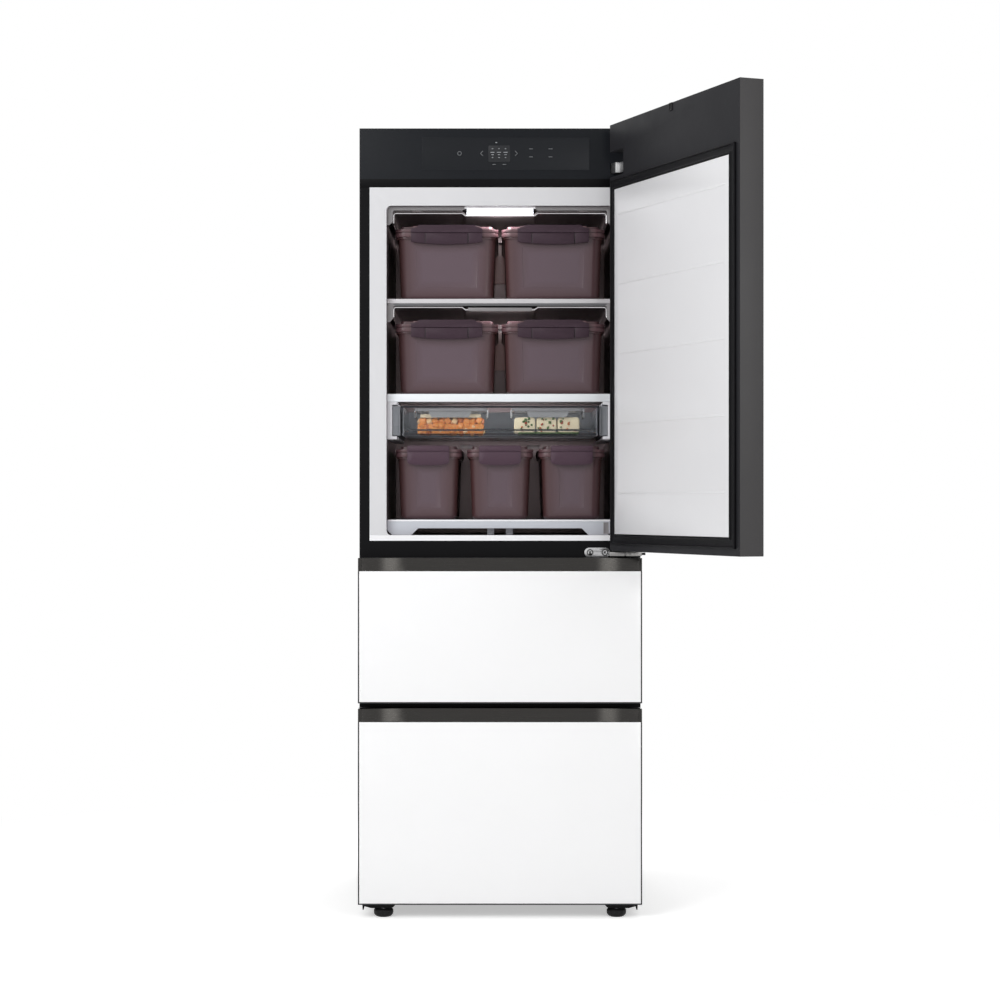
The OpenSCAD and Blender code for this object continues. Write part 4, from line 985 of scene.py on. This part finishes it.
def makeTray():
    s = traySet
    shell = addBlock("traySmoky", (-s["half"], s["front"], s["low"]),
        (s["half"], s["back"], s["high"] - s["lipDown"]))
    pinched(shell, facing(0, 0, -1), *s["draft"], (0, (s["front"] + s["back"]) / 2, 0))
    roundEdges(shell, edgeRuns(2), *s["corner"])
    roundEdges(shell, edgeAt(lambda p: p.z < s["low"] + 0.1), *s["foot"])
    workFaces(shell, facing(0, 0, 1), [
        ("raise", (0, 0, 0)), ("raise", (0, 0, s["lipDown"])), ("inset", s["wall"]),
        ("raise", (0, 0, s["low"] + s["wall"] - s["high"]))])
    softened(shell, 0.8, 2, 50)
    return paintFaces(shell, ("traySmoky", "trayClear"),
        lambda p, n: p.y < s["front"] + s["clearDeep"] and abs(p.x) < s["half"] - s["clearIn"])


place(smoothed(makeTray(), 40), "tray", None, "smoky_clear", "utility_tray")

# Front frame of the tray, its step and its runners, as low and high corners
trayFrameSet = {"lip": ((-236, -283.1, 1199), (236, -280.1, 1203.4)), "lipRound": (1.2, 3),
    "bars": (((-234, -283.2, 1138), (-231.6, -280.5, 1200)),
    ((231.6, -283.2, 1138), (234, -280.5, 1200)),
    ((-230, -282.6, 1135.4), (230, -280.2, 1137.4))),
    "step": ((-228, -281.8, 1143.6), (228, -279.4, 1148.4)), "stepRecess": (1, 0.8)}
runnerSet = {"x": (237.2, 255.5), "y": (-280.5, 92.5), "z": (1133, 1203), "round": (2.5, 3),
    "front": (2.2, 0.9), "side": (6, 1.5)}

lip = addBlock("trayLip", *trayFrameSet["lip"])
roundEdges(lip, edgeRuns(0), *trayFrameSet["lipRound"])
frameBars = [lip]
for corners in trayFrameSet["bars"]:
    frameBars.append(softened(addBlock("trayBar", *corners), 0.6, 2))
place(smoothed(joined("trayLip", frameBars), 40), "tray", "trayRim", "smoky_clear")
step = recessed(addBlock("trayStep", *trayFrameSet["step"]), *trayFrameSet["stepRecess"])
fitted(step, (0.4, 2), "tray", "trayStep", "smoky_clear", angle=40)

for side, label in ((-1, "Left"), (1, "Right")):
    s = runnerSet
    left, right = sorted(side * x for x in s["x"])
    runner = addBlock("trayRunner" + label, (left, s["y"][0], s["z"][0]),
        (right, s["y"][1], s["z"][1]))
    roundEdges(runner, edgeRuns(1), *s["round"])
    recessed(runner, *s["front"])
    recessed(runner, *s["side"], (side, 0, 0))
    fitted(runner, (0.5, 2), "tray", "runnerGrey", "smoky_clear", angle=40)

# Two clear food boxes in the tray: left and right side, left and right end of the flap
foodBoxes = {"stewBox": (-205, -30, -171, -67), "sideDishBox": (27, 202, 63, 165)}
boxSet = {"front": -272, "back": -92, "low": 1134.5, "rim": 1191, "lidTop": 1199, "wall": 1.6,
    "bodyIn": 4, "draft": (0.955, 0.97), "corner": (12, 5), "foot": (6, 4), "lidCorner": (14, 5),
    "lidField": (7, 2.5, 3), "flap": (1176.5, 1190.5), "flapDraft": (0.86, 1),
    "flapRound": (3.5, 4), "flapField": (2.2, 0.7), "clipX": (1.6, 3.4), "clipWide": 5,
    "clipY": (52, 122), "clipZ": (1176, 1196)}


def makeFoodBox(name, left, right, flapLeft, flapRight):
    s = boxSet
    front, back, inward = s["front"], s["back"], s["bodyIn"]
    body = addBlock(name + "Body", (left + inward, front + inward, s["low"]),
        (right - inward, back - inward, s["rim"]))
    pinched(body, facing(0, 0, -1), *s["draft"], ((left + right) / 2, (front + back) / 2, 0))
    roundEdges(body, edgeRuns(2), *s["corner"])
    roundEdges(body, edgeAt(lambda p: p.z < s["low"] + 0.1), *s["foot"])
    recessed(body, s["wall"], 4, (0, 0, 1))
    place(smoothed(body, 40), "tray", "foodClear")
    lid = addBlock(name + "Lid", (left, front, s["rim"]), (right, back, s["lidTop"]))
    roundEdges(lid, edgeRuns(2), *s["lidCorner"])
    inset, sink, ring = s["lidField"]
    workFaces(lid, facing(0, 0, 1), [("inset", inset), ("raise", (0, 0, -sink)), ("inset", ring)])
    fitted(lid, (1.2, 3), "tray", "foodLid", angle=40)
    flap = addBlock(name + "Flap", (flapLeft, front - 1.8, s["flap"][0]),
        (flapRight, front + 2, s["flap"][1]))
    pinched(flap, facing(0, 0, -1), *s["flapDraft"], ((flapLeft + flapRight) / 2, front, 0))
    roundEdges(flap, edgeRuns(1), *s["flapRound"])
    recessed(flap, *s["flapField"])
    fitted(flap, (0.5, 2), "tray", "foodFlap", angle=40)
    for x in (left - s["clipX"][0], right - s["clipX"][1]):
        clip = addBlock(name + "Clip", (x, front + s["clipY"][0], s["clipZ"][0]),
            (x + s["clipWide"], front + s["clipY"][1], s["clipZ"][1]))
        workFaces(clip, lambda f: abs(f.normal.x) > 0.9, [("inset", 3)])
        fitted(clip, (1.4, 3), "tray", "foodFlap", angle=40)


for name, sides in foodBoxes.items():
    makeFoodBox(name, *sides)

# What the food is made of: bevelled cubes, roughened by one texture
chunkSet = {"seed": 11, "noise": 0.012, "round": 0.2, "rough": 0.1}
lumps = bpy.data.textures.new("lumps", "CLOUDS")
lumps.noise_scale = chunkSet["noise"]
dice = random.Random(chunkSet["seed"])


def makeChunk(name, at, size, kind, squash=1.0):  # kind None: drawn from the stew's colours
    turn = [dice.uniform(0, 3) for axis in "xyz"]
    kind = kind or stewSet["colors"][dice.randrange(len(stewSet["colors"]))]
    deselectAll()
    bpy.ops.mesh.primitive_cube_add(size=size * mm, location=Vector(at) * mm, rotation=turn)
    piece = named(name)
    piece.scale = (1, 1, squash)
    settle(piece)
    applied(piece, "BEVEL", width=size * chunkSet["round"] * mm, segments=2)
    applied(piece, "DISPLACE", texture=lumps, strength=size * chunkSet["rough"] * mm,
        mid_level=0.5)
    return paintFaces(piece, (kind,))


# Stew: layers of chunks in their broth, with a paler skin on top
stewSet = {"count": (10, 4, 3), "start": (-186, -256, 1144), "pitch": (15.2, 14, 12),
    "stray": (3, 2, 2), "size": (12, 17),
    "colors": ("stewOrange", "stewPale", "stewOrange", "stewPale", "stewOrange", "stewDeep"),
    "broth": ((-197, -261, 1137.5), (-41, -104, 1160)),
    "cream": ((-190, -262, 1176), (-46, -100, 1184))}
stew = []
for layer in range(stewSet["count"][2]):
    for row in range(stewSet["count"][1]):
        for column in range(stewSet["count"][0]):
            size = dice.uniform(*stewSet["size"])
            at = [start + index * pitch + dice.uniform(-stray, stray) for start, index, pitch, stray
                in zip(stewSet["start"], (column, row, layer), stewSet["pitch"], stewSet["stray"])]
            stew.append(makeChunk("chunk", at, size, None))
broth = recessed(addBlock("broth", *stewSet["broth"]), 8, 1, (0, 0, 1))
stew.append(paintFaces(softened(broth, 4, 3), ("stewOrange",)))
place(smoothed(joined("stewPieces", stew), 50), "tray")
cream = recessed(addBlock("stewCream", *stewSet["cream"]), 6, -1.5, (0, 0, 1))
fitted(cream, (3, 3), "tray", "stewCream", angle=40)

# Side dish: three cut blocks with bits on their fronts, on green leaves
dishSet = {"blocks": ((34, 50), (87, 48), (138, 52)), "y": (-262, -130), "z": (1140, 1177),
    "round": (7, 4), "lumps": 2.4, "bits": 12, "bitSize": (3.5, 6.5), "bitIn": 5,
    "bitZ": (1142, 32), "bitKinds": ("bitGreen", "bitRed", "stewDeep", "bitGreen"),
    "leaves": ((44, -262, 1137), (188, -120, 1141.5))}
dish = []
for x, width in dishSet["blocks"]:
    block = addBlock("omelette", (x, dishSet["y"][0], dishSet["z"][0]),
        (x + width, dishSet["y"][1], dishSet["z"][1]))
    roundEdges(block, edgeRuns(1), *dishSet["round"])
    softened(block, 3, 3)
    applied(block, "SUBSURF", levels=1, render_levels=1, subdivision_type="SIMPLE")
    applied(block, "DISPLACE", texture=lumps, strength=dishSet["lumps"] * mm, mid_level=0.5)
    dish.append(paintFaces(block, ("eggCream",)))
    for bit in range(dishSet["bits"]):
        kind = dishSet["bitKinds"][dice.randrange(len(dishSet["bitKinds"]))]
        at = (x + dice.uniform(dishSet["bitIn"], width - dishSet["bitIn"]),
            dishSet["y"][0] - 1 + dice.uniform(-1, 1),
            dishSet["bitZ"][0] + dice.uniform(0, dishSet["bitZ"][1]))
        dish.append(makeChunk("bit", at, dice.uniform(*dishSet["bitSize"]), kind, 0.7))
leaves = workFaces(addBlock("greens", *dishSet["leaves"]), facing(0, 0, 1), [("inset", 4)])
dish.append(paintFaces(softened(leaves, 1.5, 2), ("bitGreen",)))
place(smoothed(joined("sideDish", dish), 50), "tray")
print("tray and food boxes made")

# The door turns about its pin: its pieces are worked on closed, then swung open
doorSet = {"pin": (306, -354.5, 0), "open": 111.5, "low": 860, "high": 1857, "side": 318,
    "bumper": ((-8, -329, 1842), (8, -310.5, 1860)), "bumperRecess": (2.5, 1.5),
    "gasketRecess": (4, 2.6)}
# node, finish, slot, edge
doorParts = {
    "doorShell": ("door_body", None, "door_shell", (1.1, 3)),
    "doorGlass": ("door_glass", "whiteGlass", "white_glass", (1.4, 3)),
    "doorLiner": ("door_liner", "doorLiner", "white_liner", (2.2, 3)),
    "doorGasket": ("door_gasket", "gasketRubber", "gasket_rubber", (1.2, 2)),
}
pinAt = Vector(doorSet["pin"]) * mm
swing = Matrix.Translation(pinAt) @ Matrix.Rotation(math.radians(doorSet["open"]), 4, "Z") \
    @ Matrix.Translation(-pinAt)


def swungOpen(piece):
    piece.matrix_world = swing
    return settle(piece)


def doorSides(p, n):
    return abs(n.y) < 0.5 and (abs(p.x) > doorSet["side"] or p.z > doorSet["high"] - 12
        or p.z < doorSet["low"] + 8)


for name, (node, kind, slotName, edge) in doorParts.items():
    piece = copyOfNode(node, name)
    piece.data.transform(swing.inverted())
    if name == "doorGasket":
        recessed(piece, *doorSet["gasketRecess"], (0, 1, 0))
    softened(piece, *edge)
    if name == "doorShell":
        paintFaces(piece, ("doorShell", "doorEdge"), doorSides)
    place(smoothed(swungOpen(piece)), "door", kind, slotName, node)
bumper = addBlock("doorBumper", *doorSet["bumper"])
softened(recessed(bumper, *doorSet["bumperRecess"], (0, 1, 0)), 1.4, 3)
place(smoothed(swungOpen(bumper)), "door", "blackPlastic", "black_plastic")
print("door finished")

# Drawers: node's ending, body's ending, finish, slot, edge
drawerSet = {
    "Glass": ("glass", "drawer", "whiteGlass", "white_glass", (1.2, 3)),
    "Core": ("core", "drawer", "drawerShell", "drawer_shell", (1.0, 2)),
    "Grip": ("grip", "drawer", "gripMetal", "grip_metal", (1.1, 3)),
    "Gasket": ("gasket", "drawer", "gasketRubber", "gasket_rubber", (1.4, 2)),
    "Bin": ("bin", "drawer", "binPlastic", "bin_plastic", (1.2, 2)),
    "Slides": ("slides", "slide_pair", "platedSteel", "plated_steel", (0.6, 2)),
}
for drawer in ("middle", "lower"):
    for label, (part, body, kind, slotName, edge) in drawerSet.items():
        roundNode(drawer + label, f"{drawer}_{part}", edge, f"{drawer}_{body}", kind, slotName)
print("drawers finished")

# Feet, each with a lock nut
nutSet = {"x": 274, "y": -338.5, "low": 17.5, "high": 21.3, "radius": 10.5, "recess": (1.2, 0.5)}
for label, side in (("left", -1), ("right", 1)):
    body = "foot_" + label
    roundNode(label + "Foot", label + "_foot", (0.8, 2), body, "blackPlastic", "black_plastic")
    ends = [(side * nutSet["x"], nutSet["y"], nutSet[end]) for end in ("low", "high")]
    nut = recessed(addRod(label + "Nut", *ends, nutSet["radius"], 6), *nutSet["recess"], (0, 0, 1))
    fitted(nut, (0.4, 2), body, "platedSteel", "plated_steel")

# Ribs and screws of the back cover
backSet = {"ribs": (640, 980, 1320, 1660), "half": 262, "bead": 9, "proud": 1.6,
    "screwX": 321, "screwHeights": (120, 420, 760, 1100, 1440, 1780), "screwProud": 2.2,
    "screwRadius": 5, "screwRecess": (1.6, 0.9)}
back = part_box("back_cover")[1][1] / mm
for z in backSet["ribs"]:
    rib = addBlock("backRib", (-backSet["half"], back - 1, z - backSet["bead"]),
        (backSet["half"], back + backSet["proud"], z + backSet["bead"]))
    roundEdges(rib, edgeRuns(1), backSet["bead"] - 0.5, 6)
    fitted(rib, (1.2, 2), "cabinet", "galvanised", "galvanised_sheet")
screw = addRod("backScrew", (0, back - 1, 0), (0, back + backSet["screwProud"], 0),
    backSet["screwRadius"], 16)
softened(recessed(screw, *backSet["screwRecess"], (0, 1, 0)), 0.7, 2)
for side in (-1, 1):
    for z in backSet["screwHeights"]:
        head = cloned(screw, "backScrew", (side * backSet["screwX"], 0, z))
        place(smoothed(head), "cabinet", "platedSteel", "plated_steel")
bpy.data.objects.remove(screw, do_unlink=True)
print("feet and back finished")

# Signs on the control panel, in points of the panel seen from the front
signSet = {"front": -305.4, "scale": 0.42202, "middle": 500.5, "level": 504, "height": 970,
    "field": ((-184.6, -305.1, 1761), (212, -303.5, 1838)), "fieldRecess": (1.2, 0.3),
    "screen": ((489, 162), (510.6, 145.5)), "screenY": (-305.5, -304), "screenRound": (3, 3),
    "arrows": (((483.5, 151), (481, 153.5), (483.5, 156)),
    ((515.5, 151), (518, 153.5), (515.5, 156))),
    "ring": (460, 153.5, 1.9), "lineWidth": 1.0,
    "dashes": ((494.5, 164.5, 1.6), (505, 164.5, 1.8), (531.5, 149, 1.8), (531.5, 157, 1.8),
    (551, 149, 2), (551, 157, 1.8)), "dashWidth": 1.3, "mark": (496.8, 142.7, 0.8, 2.2),
    "columns": (493, 499.5, 506), "rows": ((148.8, 0.7), (152.4, 2), (154.8, 1.2), (157.6, 0.7)),
    "rowWidth": 1.4}


def panelAt(x, y, depth=signSet["front"]):
    return Vector(((x - signSet["middle"]) / signSet["scale"], depth,
        signSet["height"] - (y - signSet["level"]) / signSet["scale"]))


def makeSign(points, width, closed=False):  # a thin raised line through the points
    ends = points[1:] + points[:1] if closed else points[1:]
    return [addRod("signBar", panelAt(*start), panelAt(*end), width / 2, 8)
        for start, end in zip(points, ends)]


def makeDash(x, y, half, width):
    return makeSign([(x - half, y), (x + half, y)], width)


field = recessed(addBlock("panelField", *signSet["field"]), *signSet["fieldRecess"])
fitted(field, (0.3, 2), "cabinet", "panelField", "panel_glass")
screen = addBlock("panelScreen", *(panelAt(*corner, depth)
    for corner, depth in zip(signSet["screen"], signSet["screenY"])))
roundEdges(screen, edgeRuns(1), *signSet["screenRound"])
fitted(screen, (0.3, 2), "cabinet", "screenField", "panel_glass")

signs = []
for points in signSet["arrows"]:
    signs += makeSign(points, signSet["lineWidth"])
x, y, radius = signSet["ring"]
signs += makeSign([(x + radius * math.cos(math.radians(40 * k)),
    y + radius * math.sin(math.radians(40 * k))) for k in range(9)], signSet["lineWidth"], True)
for dash in signSet["dashes"]:
    signs += makeDash(*dash, signSet["dashWidth"])
digits = makeDash(*signSet["mark"])
for column in signSet["columns"]:  # plain dotted columns
    for row, half in signSet["rows"]:
        digits += makeDash(column, row, half, signSet["rowWidth"])
place(smoothed(joined("panelDigits", digits), 50), "cabinet", "digitGlow", "panel_glass")
place(smoothed(joined("panelSigns", signs), 50), "cabinet", "signGlow", "panel_glass")
print("panel signs made")

# Floor: pale under the object, and running into the white backdrop away from it
floorSet = {"half": 9.0, "color": (0.86, 0.86, 0.86), "lift": 0.46, "near": 0.9, "far": 2.0}
deselectAll()
bpy.ops.mesh.primitive_plane_add(size=2 * floorSet["half"], location=(0, 0, 0))
floor = settle(named("floor"))
floorPaint = bpy.data.materials.new("floorPaint")
floorPaint.use_nodes = True
tree = floorPaint.node_tree
shader = tree.nodes["Principled BSDF"]
grain = addEffect(tree, "grain", {"Color": (*floorSet["color"], 1), "Shade": 0.0})
for key, value in (("Base Color", grain["Color"]), ("Roughness", 0.9),
        ("Specular IOR Level", 0.2)):
    feed(tree, value, shader.inputs[key])
glow = addNode(tree, "Emission", {"Strength": floorSet["lift"]})
lit = addNode(tree, "AddShader", {0: shader.outputs[0], 1: glow.outputs[0]})
reach = addNode(tree, "VectorMath", {0: objectPoint(tree)}, operation="LENGTH")
fade = rangeOf(tree, reach.outputs["Value"], floorSet["near"], floorSet["far"], kind="SMOOTHSTEP")
shown = shaderMix(tree, fade, lit.outputs[0], addNode(tree, "Emission").outputs[0])
feed(tree, shaderMix(tree, seenRays(tree), shader.outputs[0], shown),
    tree.nodes["Material Output"].inputs["Surface"])
floor.data.materials.append(floorPaint)
print("floor laid")
